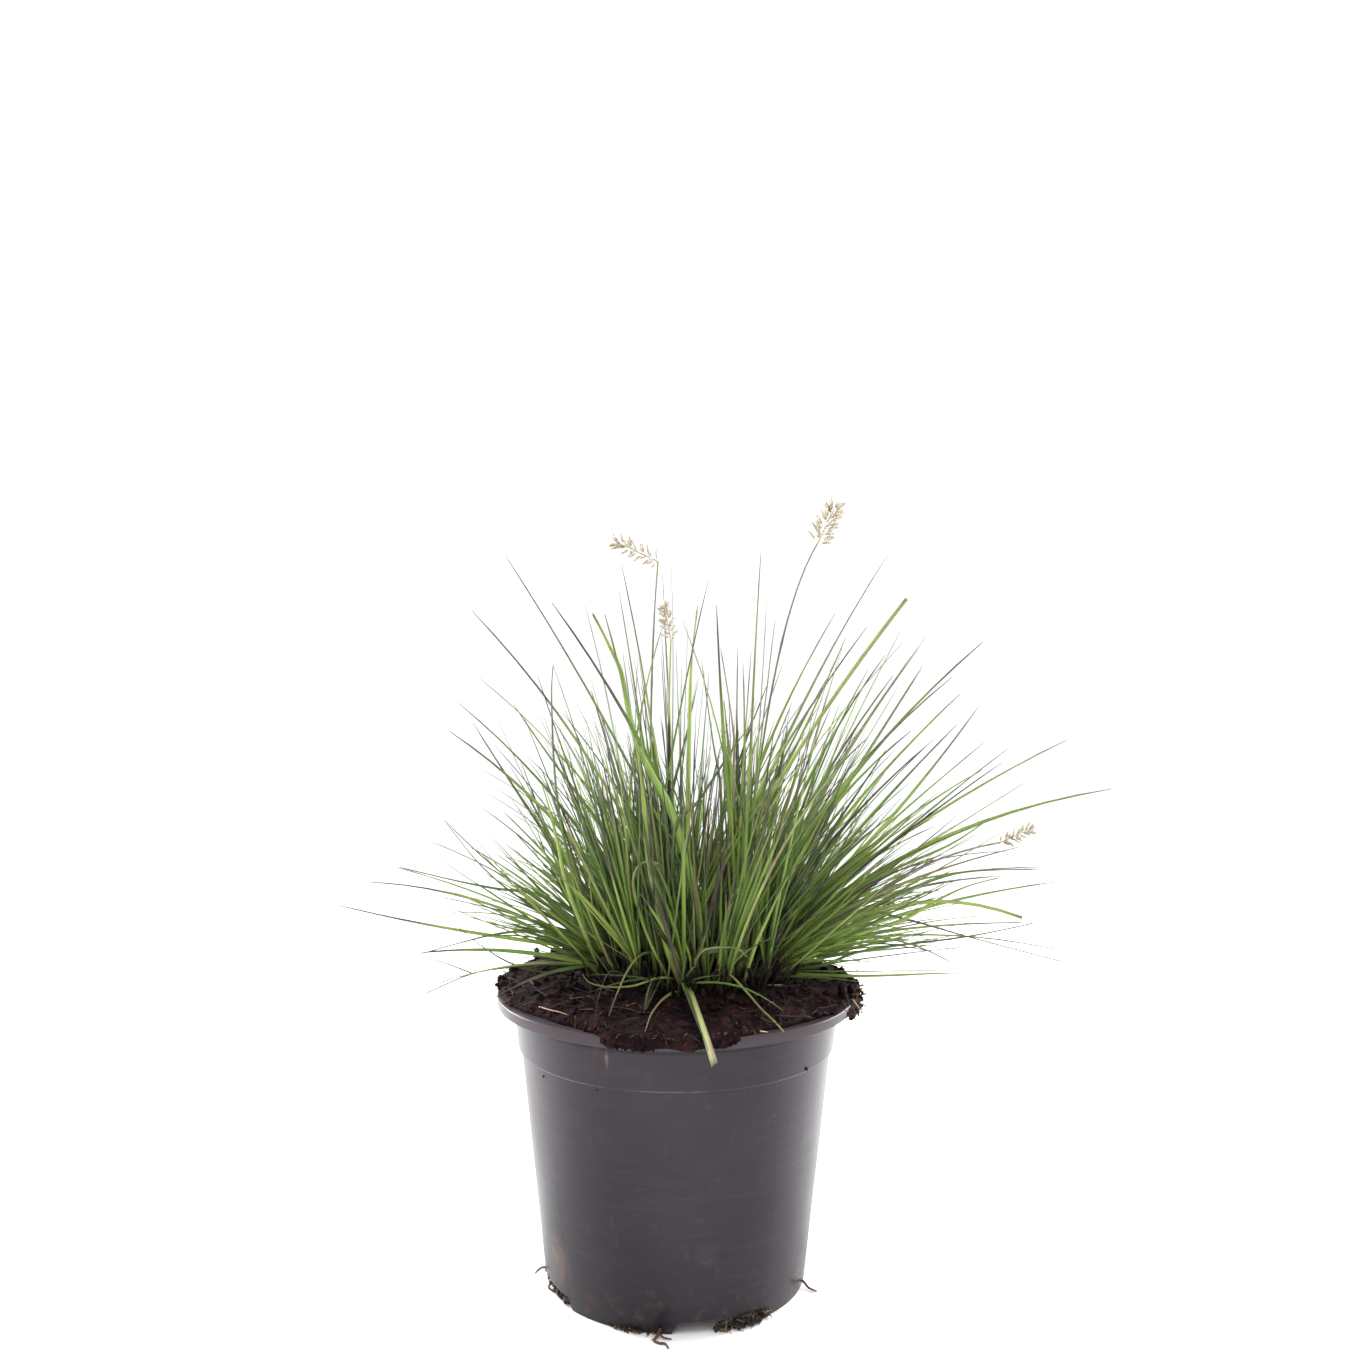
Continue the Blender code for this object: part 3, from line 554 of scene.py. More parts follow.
# %% [markdown]
# Between the tufts the clump is filled with shorter leaves that stand nearly upright. Many are
# last year's, olive or brown, and they give the clump its dark, close middle.

# %% The heart of the clump
CROWN_X, CROWN_TOP = 0.008, 0.1703
HEART_LEAVES, HEART_RADIUS = 330, 0.047
SHORT_HEART = 90 * MM  # only leaves shorter than this may be broken off
BROKEN = (0, 0, 0, 0, 0.7)  # and one in five of them is
HEART_TONES = (0.02, 0.08, 0.16, 0.26, 0.36, 0.48, 0.60, 0.80, 0.93)
CROWD_FOLD = 0.8


def on_crown(radius, angle, z=CROWN_TOP):
    return polar(radius, angle, z) + Vector((CROWN_X, 0, 0))


def crowd_line(rng, foot, way, length, across, towards, sag):
    """The line of one leaf of a crowd, which bows a little in one direction."""
    tip = foot + way * length
    leaf = {"foot": foot, "tip": tip, "across": across,
            "crest": (foot + tip) / 2 + towards * length * rng.uniform(*sag)}
    return blade_line(leaf, foot - UP * 2 * MM, rng.uniform(-0.02, 0.02), 0.0, SHORT_STEPS)


def grow_heart():
    rng = random.Random(41)
    heap = Heap("along", "across", "tone", "dry")
    for _ in range(HEART_LEAVES):
        angle, radius = rng.uniform(0, math.tau), HEART_RADIUS * math.sqrt(rng.random())
        lean = polar(radius * 9.0 + rng.uniform(0, 0.14), angle + rng.gauss(0, 0.7), 0)
        way = (UP + lean).normalized()
        length = rng.uniform(60, 150) * MM
        across = way.cross(stray(rng)).normalized()
        line = crowd_line(rng, on_crown(radius, angle), way, length, across, across, (-0.05, 0.05))
        blunt = rng.choice(BROKEN) if length < SHORT_HEART else 0
        add_blade(heap, line, across, rng.uniform(1.4, 2.3) * MM, CROWD_FOLD, rng.uniform(-1.0, 1.0), blunt,
                  tone=rng.choice(HEART_TONES), dry=rng.choice((0.02, *DRY_FROM)))
    return heap.piece("leaves_heart", leaf_blade, "leaf")


heart = grow_heart()
print("heart faces", len(heart.data.polygons))

# %% [markdown]
# At both sides the clump is low and close: leaves of middle length arch out over the rim and cross
# each other. They grow from the crown's edge in fans: a wide one, a low one and a steep one on the
# right, and a smaller one on the left. A fan has its own range of turns, rises and lengths.

# %% The flanks
FLANKS = (  # degrees round the crown, degrees of rise, length in mm, number of leaves
    ((-18, 58), (3, 52), (58, 130), 110), ((10, 62), (3, 13), (62, 100), 50),
    ((-30, 50), (28, 60), (90, 145), 45), ((142, 215), (25, 85), (50, 120), 50),
)
CROWN_EDGE = (0.030, 0.052)


def grow_flanks():
    rng = random.Random(77)
    heap = Heap("along", "across", "tone", "dry")
    for fan, rises, lengths, count in FLANKS:
        for _ in range(count):
            angle, rise = math.radians(rng.uniform(*fan)), math.radians(rng.uniform(*rises))
            foot = on_crown(rng.uniform(*CROWN_EDGE), angle)
            way = polar(math.cos(rise), angle + rng.gauss(0, 0.25), math.sin(rise))
            length = rng.uniform(*lengths) * MM
            across = Matrix.Rotation(rng.gauss(0, 0.7), 3, way) @ way.cross(UP).normalized()
            line = crowd_line(rng, foot, way, length, across, UP, (-0.02, 0.10))
            add_blade(heap, line, across, rng.uniform(1.4, 2.4) * MM, CROWD_FOLD, rng.uniform(-0.8, 0.8),
                      tone=random_tone(rng, 0.68, 0.15, 0.82), dry=rng.choice(DRY_FROM))
    return heap.piece("leaves_flanks", leaf_blade, "leaf")


flanks = grow_flanks()
print("flank faces", len(flanks.data.polygons))

# %% [markdown]
# A few leaves catch the eye and give this plant its own face: bright ones in front of the clump,
# a curl, and old ones that lie across the peat. Each is drawn through a handful of points.

# %% Leaves drawn one by one
DRAWN_LEAVES = (  # width in mm, tone, dry from, share of the width at a blunt end, points in mm
    (4.6, 0.52, 0.93, 0, (
        (16, -40, 172), (14, -44, 197), (10, -46, 223), (4, -44, 246), (-3, -42, 266), (-12, -38, 282),
        (-19, -34, 296), (-24, -30, 314), (-28, -26, 334), (-34, -24, 347), (-38, -22, 355),
        (-43, -20, 364),
    )),
    (4.4, 0.62, 0.95, 0, (
        (3, -46, 173), (-4, -49, 195), (-9, -50, 219), (-13, -48, 239), (-15, -45, 259), (-17, -40, 279),
        (-20, -34, 302),
    )),
    (1.8, 0.64, 0.95, 0, ((9, -46, 172), (8, -48, 188), (3, -51, 202), (-7, -50, 223), (-18, -42, 254))),
    (1.5, 0.80, 0.80, 0.6, ((11, -46, 172), (10, -50, 200), (10, -50, 220), (13, -50, 227))),
    (3.0, 0.80, 0.92, 0.6, (
        (22, -46, 172), (24, -51, 194), (27, -53, 212), (30, -53, 222), (34, -53, 226),
    )),
    (2.2, 0.78, 0.95, 0, ((35, -44, 172), (41, -51, 195), (47, -54, 210), (54, -56, 226), (67, -59, 251))),
    (2.0, 0.16, 0.90, 0, ((0, -40, 200), (0, -44, 253), (12, -40, 268), (29, -34, 293), (40, -28, 307))),
    (1.9, 0.22, 0.90, 0, ((22, -30, 172), (24, -30, 226), (24, -28, 272), (20, -26, 297), (14, -22, 339))),
    (2.0, 0.90, 0.80, 0, ((26, -28, 172), (29, -28, 236), (31, -26, 288), (30, -24, 308), (24, -20, 346))),
    (1.6, 0.95, 0.85, 0, ((18, -34, 172), (17, -34, 230), (21, -30, 262), (23, -28, 290))),
    (3.0, 0.70, 0.90, 0, (
        (9, -30, 172), (7, -30, 236), (7, -27, 272), (8, -20, 319), (9, -16, 341), (12, -12, 368),
    )),
    (1.6, 0.40, 0.55, 0, (
        (-40, -26, 172), (-54, -36, 232), (-61, -38, 274), (-63, -38, 320), (-62, -38, 339),
    )),
    (2.4, 0.78, 0.95, 0, (
        (-38, -28, 172), (-55, -38, 221), (-60, -40, 245), (-64, -41, 263), (-68, -41, 277),
    )),
    (2.0, 0.82, 1.50, 0.6, (
        (-1, -44, 172), (-13, -50, 198), (-19, -52, 217), (-21, -52, 229), (-18, -52, 237), (-13, -52, 239),
        (-8, -52, 238),
    )),
    (1.5, 0.88, 0.95, 0.6, (
        (12, -44, 172), (10, -54, 186), (14, -59, 194.5), (19, -60, 196.5), (26, -60, 197), (32, -59, 196),
        (37, -57, 191),
    )),
    (1.8, 0.86, 0.74, 0.5, (
        (-4, -20, 172), (-11, -32, 186), (-18, -49, 189.5), (-24, -60, 184), (-29, -72, 175),
        (-32, -81, 168),
    )),
    (1.9, 0.88, 0.92, 0.6, (
        (2, -46, 170), (-1, -55, 172), (-6, -66, 171.5), (-11, -80, 169), (-14, -92, 163.5),
    )),
    (1.5, 0.84, 0.90, 0, (
        (6, -30, 171), (-3, -49, 178), (-10, -54, 179), (-21, -58, 176.5), (-34, -58, 176), (-43, -57, 178),
        (-47, -55, 182),
    )),
    (1.7, 0.80, 0.93, 0.5, (
        (10, -28, 172), (26, -47, 180), (36, -57, 173.5), (43, -68, 168), (49, -77, 164.5),
        (54, -83, 160.5),
    )),
    (3.4, 0.10, 0.90, 0, (
        (-8, -30, 170), (-17, -27, 172.5), (-50, -6, 173), (-75, -5, 173), (-88, -5, 172),
    )),
    (2.0, 0.24, 0.85, 0, ((28, -22, 171), (48, -24, 172), (75, -26, 172), (99, -28, 170))),
    (0.9, 0.10, 0.02, 0, (
        (-18, -40, 172), (-27, -50, 181), (-33, -60, 184), (-37, -71, 177), (-39, -80, 168),
    )),
    (1.0, 0.10, 0.02, 0.6, (
        (-50, 0, 171), (-72, 6, 172), (-92, 12, 167), (-113, 13, 163), (-138, 12, 152.5),
    )),
    (0.9, 0.10, 0.02, 0.6, ((-111, 12, 163), (-122, 13, 167), (-134, 14, 171))),
    (2.1, 0.28, 0.70, 0, (
        (-40, -14, 172), (-50, -18, 189), (-61.5, -20, 194.5), (-83, -20, 195), (-98, -20, 193),
        (-114, -20, 189), (-135, -20, 183),
    )),
    (1.9, 0.22, 0.50, 0, (
        (56, -24, 172), (75, -28, 196), (97, -30, 208), (125, -30, 203), (153, -30, 195), (209, -30, 180),
    )),
    (1.9, 0.26, 0.60, 0, (
        (58, -12, 172), (79, -20, 177), (102, -20, 185), (156, -20, 192.5), (192, -20, 200),
    )),
    (1.3, 0.20, 0.45, 0, (
        (-50, -4, 171), (-71, -4, 168.5), (-90, -4, 174), (-106, -4, 184), (-120, -4, 196),
    )),
    (1.4, 0.20, 0.55, 0, (
        (-36, 2, 172), (-63, 4, 194), (-81, 5, 205), (-96, 5, 216), (-110, 5, 230), (-126, 5, 251),
    )),
    (2.0, 0.24, 0.85, 0, (
        (-34, -18, 174), (-46, -16, 197), (-71, -14, 213), (-96, -14, 217), (-118, -12, 221),
        (-149, -10, 228),
    )),
    (2.1, 0.26, 0.90, 0, (
        (44, -22, 173), (80, -24, 198), (116, -30, 217), (138, -34, 227), (156, -36, 231), (189, -36, 232),
    )),
    (2.3, 0.60, 0.95, 0, (
        (50, -26, 172), (90, -28, 193), (118, -36, 205), (133, -40, 215), (150, -42, 224), (168, -42, 229),
    )),
    (2.3, 0.45, 0.92, 0, (
        (48, -16, 174), (90, -18, 212), (115, -20, 228), (144, -27, 243), (165, -26, 257),
    )),
)
CURVE_STEPS = 5


def smooth_line(marks):
    """A smooth curve through a few points."""
    line = []
    for i in range(len(marks) - 1):
        a, b, c, d = marks[max(i - 1, 0)], marks[i], marks[i + 1], marks[min(i + 2, len(marks) - 1)]
        for k in range(CURVE_STEPS):
            t = k / CURVE_STEPS
            line.append((b * 2 + (c - a) * t + (a * 2 - b * 5 + c * 4 - d) * t**2
                         + (b * 3 - a - c * 3 + d) * t**3) / 2)
    return line + [marks[-1]]


def draw_leaves():
    rng = random.Random(12)
    heap = Heap("along", "across", "tone", "dry")
    for width, tone, dry, blunt, marks in DRAWN_LEAVES:
        line = smooth_line([in_mm(mark) for mark in marks])
        across = (line[-1] - line[0]).cross(TO_VIEWER).normalized()
        add_blade(heap, line, across, width * MM, 0.5, rng.uniform(-0.3, 0.3), blunt, tone=tone, dry=dry)
    return heap.piece("leaves_front", leaf_blade, "leaf")


drawn = draw_leaves()
print(len(DRAWN_LEAVES), "drawn leaves,", len(drawn.data.polygons), "faces")

# %% [markdown]
# ## Peat
# Nursery peat is near black when moist, with reddish crumbs and pale fibres. One bumpy skin gives
# the mound its outline, and hundreds of loose crumbs, roots and straws on top of it break up the
# skin as real peat does. The skin runs down inside the pot too, where nobody sees it.

# %% Peat material
def peat_finish():
    peat = Finish("moist_peat")
    coarse, fine = peat.noise(95.0, 5.0, 0.6), peat.noise(420.0, 3.0, 0.6)
    mixed = peat.sum("MULTIPLY_ADD", fine, 0.45, peat.times(coarse, 0.55))
    brown = peat.ramp(
        mixed, (0.38, (0.003, 0.001, 0.002)), (0.51, (0.010, 0.004, 0.005)), (0.61, (0.030, 0.011, 0.011)),
        (0.71, (0.085, 0.034, 0.026)),
    )
    long_fibres = peat.cells(240.0, peat.stretched((1.0, 0.25, 1.0)))
    brown = peat.blend(peat.band(long_fibres, 0.03, 0.08, 0.35, 0.0), brown, (0.16, 0.085, 0.050))
    rough = peat.band(fine, 0.3, 0.7, 0.75, 1.0)
    crumbly = peat.bump(mixed, 0.0012)
    return peat.finish(Base_Color=brown, Roughness=rough, Normal=crumbly, Specular_IOR_Level=0.1)


moist_peat = peat_finish()
print("peat material:", len(moist_peat.node_tree.nodes), "nodes")

# %% [markdown]
# The mound follows the plain root ball: flat in the middle, falling to the rim, spread over the
# lip at the front and hanging off it on the right. Its edge is ragged, so two short tables say how
# far it reaches and how far it hangs at a few places round the rim. Noise does the rest.

# %% The mound's shape
POT_HEIGHT, LIP_RADIUS = 0.160, 0.0955
PEAT_TOP, LEVEL_RADIUS, RIM_FALL = 0.1655, 0.070, 0.0035
CROWN_MOUND, MOUND_SLOPE, CROWN_RISE = 0.067, 0.014, 0.0046
HANG_ANGLE, HANG_HALF = math.radians(-8), math.radians(24)
FRONT_ANGLE, FRONT_HALF = math.radians(-91), math.radians(20)
RIM_REACH = (  # degrees round the rim, millimetres from the axis
    (-178, 94.6), (-155, 93.5), (-138, 89.5), (-120, 91.5), (-110, 96.4), (-90, 96.9), (-73, 96.4),
    (-62, 91.5), (-45, 92.0), (-30, 95.5), (-8, 101.0), (10, 97.0), (28, 93.5), (90, 93.5), (148, 94.5),
    (168, 94.6), (175, 97.0), (182, 94.6),
)
RIM_HANG = (  # degrees, millimetres below the top of the lip
    (-180, 0), (-117, 0), (-109, 4.8), (-90, 4.4), (-75, 4.8), (-67, 0), (-34, 0), (-24, 7), (-8, 11),
    (6, 8), (16, 0), (181, 0),
)


def around(table, angle):
    """The table's value at an angle, in a straight line between its rows."""
    degrees = math.degrees(math.remainder(angle, math.tau))
    if degrees < table[0][0]:
        degrees += 360
    for (before, low), (after, high) in zip(table, table[1:]):
        if degrees <= after:
            return (low + (high - low) * (degrees - before) / (after - before)) * MM
    return table[-1][1] * MM


def peat_noise(point):
    shift = Vector((3.1, 7.7, 1.3))
    return (
        1.7 * noise.noise(point * 55 + shift) + 1.3 * noise.noise(point * 160 + shift)
        + 0.8 * noise.noise(point * 400 + shift)
    ) * MM


def peat_reach(angle):
    """How far out the peat's edge lies, and how far it hangs below the top of the lip."""
    ragged = noise.noise(Vector((math.cos(angle), math.sin(angle), 0)) * 9)
    return around(RIM_REACH, angle) + 1.1 * ragged * MM, around(RIM_HANG, angle) * (1 + 0.4 * ragged)


def mound_height(radius, reach, angle):
    """Falling to the rim, and rising where the crown grows."""
    edge = max(0.0, (radius - LEVEL_RADIUS) / (reach - LEVEL_RADIUS))
    from_crown = (polar(radius, angle, 0) - Vector((CROWN_X, 0, 0))).length
    near_crown = min(1.0, max(0.0, (CROWN_MOUND - from_crown) / MOUND_SLOPE))
    return PEAT_TOP - RIM_FALL * edge**2 + CROWN_RISE * near_crown**2 * (3 - 2 * near_crown)


print("the peat reaches", round(peat_reach(HANG_ANGLE)[0] / MM, 1), "mm from the axis on the right")

# %% The peat mound
MOUND_ROWS, MOUND_TURNS = 56, 340
IN_THE_POT = (  # radius and height of the skin's rings inside the pot
    (0.0510, 0.0025), (0.0520, 0.0115), (0.0700, 0.0115), (0.0815, 0.130), (0.0830, 0.134), (0.0852, 0.158),
)
OVER_THE_WALL = (0.0862, 0.0875, 0.0890)


def build_mound():
    angles = turns(MOUND_TURNS)
    rings = [[polar(radius, angle, z) for angle in angles] for radius, z in IN_THE_POT]
    for widest in OVER_THE_WALL:
        radii = [min(widest, peat_reach(angle)[0] - 1 * MM) for angle in angles]
        rings.append([polar(radius, angle, POT_HEIGHT + 0.3 * MM) for radius, angle in zip(radii, angles)])
    edge = []
    for angle in angles:
        reach, drop = peat_reach(angle)
        low = polar(reach, angle, POT_HEIGHT + 0.4 * MM - drop)
        edge.append(low + polar(peat_noise(low) * 0.7, angle, 0))
    rings.append(edge)
    for row in range(MOUND_ROWS):
        share = 1 - (row + 0.2) / MOUND_ROWS
        ring = []
        for angle in angles:
            reach, _ = peat_reach(angle)
            radius = reach * share
            point = polar(radius, angle, mound_height(radius, reach, angle))
            ring.append(point + UP * peat_noise(point) + polar(peat_noise(point * 1.7) * 0.6, angle, 0))
        rings.append(ring)
    heap = Heap()
    heap.add(*loft(rings))
    return heap.piece("peat_mound", moist_peat, "peat", "peat_root_ball")


mound = build_mound()
print("mound faces", len(mound.data.polygons))

# %% [markdown]
# Crumbs are small dented lumps. One ball with twenty faces makes a good start: every copy gets
# its own stretch, turn and dents, so that no two look alike.

# %% One crumb
def ball_shape(detail):
    bm = bmesh.new()
    bmesh.ops.create_icosphere(bm, subdivisions=detail, radius=1.0)
    shape = [corner.co.copy() for corner in bm.verts], [[c.index for c in face.verts] for face in bm.faces]
    bm.free()
    return shape


SMALL_BALL, LARGE_BALL = ball_shape(1), ball_shape(2)


def crumb(rng, place, size, shape=SMALL_BALL):
    points, faces = shape
    turn = Matrix.Rotation(rng.uniform(0, math.tau), 3, stray(rng))
    stretch = Vector([rng.uniform(0.6, 1.3) for _ in range(3)]) * (size / 2)
    dents = Vector([rng.uniform(0, 50) for _ in range(3)])
    moved = [turn @ Vector([c * s * (1 + 0.5 * noise.noise(p * 1.3 + dents)) for c, s in zip(p, stretch)])
             for p in points]
    return [place + point for point in moved], faces


print("corners of a small crumb", len(SMALL_BALL[0]), "and of a large one", len(LARGE_BALL[0]))


# %% Scattering the crumbs
def peat_spot(rng, low, high):
    """A random place on the mound's skin between two shares of its reach."""
    angle = rng.uniform(0, math.tau)
    reach, _ = peat_reach(angle)
    radius = reach * math.sqrt(rng.uniform(low**2, high**2))
    place = polar(radius, angle, mound_height(radius, reach, angle))
    return place + UP * peat_noise(place), angle


CHIPS = (  # larger chips on the skyline and at the edge: place and size in mm
    ((-80, 47, 164), 6), ((-80, 47, 167.5), 3), ((-70, 54, 164.5), 8), ((-63, 58, 165), 6),
    ((-93, -8, 162.5), 5), ((-96, -8, 163), 3.5), ((88, -30, 166), 7), ((94, -20, 163), 6),
)
LOOSE = (  # number of crumbs, nearest share of the reach, sizes in mm, shape
    (750, 0.55, (0.8, 2.6), SMALL_BALL), (150, 0.58, (2.6, 5.5), LARGE_BALL),
)
CROWN_CRUMBS, CROWN_RING, CROWN_SLOPE_FROM = 520, (0.044, 0.066), 0.054
SPILLS = ((HANG_ANGLE, HANG_HALF, 170), (FRONT_ANGLE, FRONT_HALF, 150))


def scatter_crumbs():
    rng = random.Random(5)
    heap = Heap()
    for count, nearest, sizes, shape in LOOSE:
        for _ in range(count):
            place, _ = peat_spot(rng, nearest, 1.0)
            heap.add(*crumb(rng, place, rng.uniform(*sizes) * MM, shape))
    for _ in range(CROWN_CRUMBS):
        angle, radius = rng.uniform(0, math.tau), rng.uniform(*CROWN_RING)
        place = on_crown(radius, angle, CROWN_TOP - 0.9 * MM - 0.2 * max(0.0, radius - CROWN_SLOPE_FROM))
        heap.add(*crumb(rng, place, rng.uniform(1.2, 3.6) * MM))
    for place, size in CHIPS:
        heap.add(*crumb(rng, in_mm(place), size * MM, LARGE_BALL))
    for middle, half, count in SPILLS:
        for _ in range(count):
            angle = middle + rng.uniform(-half, half)
            reach, drop = peat_reach(angle)
            place = polar(reach + rng.uniform(-2.0, 0.8) * MM, angle, POT_HEIGHT + rng.uniform(-drop, 0.003))
            heap.add(*crumb(rng, place, rng.uniform(0.8, 2.8) * MM))
    return heap.piece("peat_crumbs", moist_peat, "peat")


crumbs = scatter_crumbs()
print("crumb faces", len(crumbs.data.polygons))

# %% [markdown]
# Fibres and roots are thin wandering tubes, some dark and some straw-pale. They lie on the mound,
# stick out of its edge, hang from the clump on the right and come out of the drain notches.

# %% Fibre material
def fibre_finish():
    fibre = Finish("root_fibre")
    shade = fibre.speckled(fibre.number("tone"), fibre.noise(300.0, 2.0), 0.3)
    brown = fibre.ramp(
        shade, (0.10, (0.010, 0.005, 0.004)), (0.45, (0.090, 0.040, 0.020)), (0.70, (0.32, 0.18, 0.085)),
        (1.0, (0.58, 0.46, 0.30)),
    )
    rough = fibre.band(fibre.noise(200.0), 0.3, 0.7, 0.6, 0.9)
    return fibre.finish(Base_Color=brown, Roughness=rough, Normal=fibre.bump(fibre.noise(900.0), 0.0001))


root_fibre = fibre_finish()
print("fibre material:", len(root_fibre.node_tree.nodes), "nodes")


# %% Roots on the mound
def fibre(heap, rng, start, way, length, radius, tone, bend=0.35, steps=7):
    line = wandering_line(rng, start, way, length, steps, bend)
    radii = [radius * (1 - 0.75 * (i / steps) ** 2) for i in range(steps + 1)]
    heap.add(*tube(line, radii, 4), tone=tone)


PALE_STRAWS = (  # both ends, in mm
    ((-69, -54, 164.5), (-52, -68, 165)), ((93, -30, 162), (97, -36, 158)),
    ((42, -84, 161.5), (46, -85, 161)),
)
THREADS, SPLINTERS, EDGE_ROOTS, HANGING_ROOTS = 230, 7, 110, 60
THREAD_TONES = (0.15, 0.25, 0.35, 0.50)
ROOT_RADII = (0.15, 0.40)


def lay_fibres():
    rng = random.Random(8)
    heap = Heap("tone")
    for _ in range(THREADS):
        place, _ = peat_spot(rng, 0.55, 0.98)
        way = polar(1, rng.uniform(0, math.tau), rng.uniform(-0.05, 0.25))
        fibre(heap, rng, place + UP * 0.5 * MM, way, rng.uniform(5, 18) * MM, rng.uniform(0.12, 0.35) * MM,
              rng.choice(THREAD_TONES), bend=0.18)
    for _ in range(SPLINTERS):
        place, _ = peat_spot(rng, 0.62, 0.97)
        way = polar(1, rng.uniform(0, math.tau), 0.08)
        fibre(heap, rng, place + UP * MM, way, rng.uniform(6, 14) * MM, 0.28 * MM,
              rng.uniform(0.55, 0.75), bend=0.06)
    for start, end in PALE_STRAWS:
        start, end = in_mm(start), in_mm(end)
        fibre(heap, rng, start, end - start, (end - start).length, 0.40 * MM, 0.92, bend=0.05)
    for _ in range(EDGE_ROOTS):
        angle = rng.uniform(0, math.tau)
        reach, _ = peat_reach(angle)
        place = polar(reach - 1.5 * MM, angle, POT_HEIGHT + rng.uniform(0.5, 3.5) * MM)
        fibre(heap, rng, place, polar(1, angle, rng.uniform(-0.4, 1.0)), rng.uniform(2.5, 7) * MM,
              rng.uniform(*ROOT_RADII) * MM, rng.uniform(0.15, 0.5))
    for _ in range(HANGING_ROOTS):
        angle = HANG_ANGLE + rng.uniform(-0.8, 0.8) * HANG_HALF
        reach, drop = peat_reach(angle)
        place = polar(reach - 1.0 * MM, angle, POT_HEIGHT - rng.uniform(0, 0.8) * drop)
        fibre(heap, rng, place, polar(0.7, angle, rng.uniform(-1.5, 0.4)), rng.uniform(3, 9) * MM,
              rng.uniform(*ROOT_RADII) * MM, rng.uniform(0.15, 0.55))
    return heap.piece("peat_fibres", root_fibre, "peat")


fibres = lay_fibres()
print("fibre faces", len(fibres.data.polygons))

# %% [markdown]
# ## Crown
# Where the tufts rise, the peat is hidden by old sheaths and short shoots, dull and dark. A low
# bumpy pad closes the ground between the tufts and short stubs stand all over it. The pad takes
# the colour of the peat that it grows in, so its material runs from near black to straw.


# %% Old sheath material
def sheath_finish():
    sheath = Finish("old_sheath")
    spots = sheath.noise(170.0, 4.0, 0.6)
    tone = sheath.speckled(sheath.number("tone"), spots, 0.30)
    brown = sheath.ramp(
        tone, (0.0, (0.004, 0.003, 0.003)), (0.12, (0.022, 0.012, 0.010)), (0.40, (0.075, 0.048, 0.036)),
        (0.62, (0.120, 0.130, 0.045)), (0.82, (0.300, 0.290, 0.130)), (1.0, (0.480, 0.450, 0.300)),
    )
    ribs = sheath.sum("SINE", sheath.times(sheath.number("across"), 17.0))
    brown = sheath.blend(sheath.band(ribs, 0.0, 1.0, 0.0, 0.45), brown, (0.015, 0.010, 0.008))
    tip = sheath.band(sheath.number("along"), 0.80, 1.0, 0.0, 0.5)
    brown = sheath.blend(tip, brown, (0.17, 0.11, 0.07))
    return sheath.finish(Base_Color=brown, Roughness=sheath.band(spots, 0.3, 0.7, 0.65, 0.95),
                         Normal=sheath.bump(sheath.sum("MULTIPLY_ADD", spots, 1.0, ribs), 0.0003),
                         Specular_IOR_Level=0.25)


# %% The crown
PALE_STUBS = (  # foot and end of stubs that catch the eye, in mm
    ((24, -45, 186), (30, -47, 219)), ((-3, -45, 186), (-10, -48, 215)), ((14, -47, 190), (37, -47, 192)),
)
CROWN_TURNS = 90
CROWN_RINGS = (  # radius and height of the pad's rings
    (0.0530, 0.1650), (0.0540, 0.1664), (0.0530, 0.1680), (0.050, 0.1692), (0.046, 0.1698), (0.038, 0.1702),
    (0.030, 0.1702), (0.022, 0.1702), (0.014, 0.1702), (0.006, 0.1702),
)
STUBS, STUB_RADIUS = 620, 0.058
STUB_TONES = (0.10, 0.16, 0.22, 0.32, 0.45, 0.60)


def stub(heap, rng, foot, end, width, tone, blunt):
    way = (end - foot).normalized()
    length = (end - foot).length
    rise = 0.08 * length
    line = [foot + way * length * t + UP * (rise * 4 * t * (1 - t)) for t in (0, 0.25, 0.5, 0.75, 1)]
    across = way.cross(stray(rng)).normalized()
    add_blade(heap, line, across, width, CROWD_FOLD, rng.uniform(-1, 1), blunt, tone=tone)


def build_crown(material):
    rng = random.Random(21)
    heap = Heap("along", "across", "tone")
    rings = []
    for radius, z in CROWN_RINGS:
        ring = [on_crown(radius, angle, z) for angle in turns(CROWN_TURNS)]
        rings.append([point + polar(2.5 * peat_noise(point), math.atan2(point.y, point.x - CROWN_X), 0)
                      + UP * peat_noise(point * 1.3) for point in ring])
    heap.add(*loft(rings), along=0.3, across=0.0, tone=0.04)
    for _ in range(STUBS):
        angle, radius = rng.uniform(0, math.tau), STUB_RADIUS * math.sqrt(rng.random())
        foot = on_crown(radius, angle, CROWN_TOP - 1 * MM)
        way = (UP + polar(rng.uniform(0.1, 0.5) + radius * 8, angle + rng.gauss(0, 0.5), 0)).normalized()
        stub(heap, rng, foot, foot + way * rng.uniform(6, 24) * MM, rng.uniform(1.5, 2.8) * MM,
             rng.choice(STUB_TONES), rng.random() < 0.3)
    for foot, end in PALE_STUBS:
        stub(heap, rng, in_mm(foot), in_mm(end), 2.4 * MM, 0.95, True)
    return heap.piece("crown_sheaths", material, "crown", "grass_crown")


crown = build_crown(sheath_finish())
print("crown faces", len(crown.data.polygons))

# %% [markdown]
# ## Pot
# The pot is moulded in one thin wall: a plain taper, a small step, a collar, and a lip that turns
# down. Turning its section round the axis gives the form. Four notches in the foot let water out
# of the hollow ring under the floor. The thin lip of such a pot is never quite round.

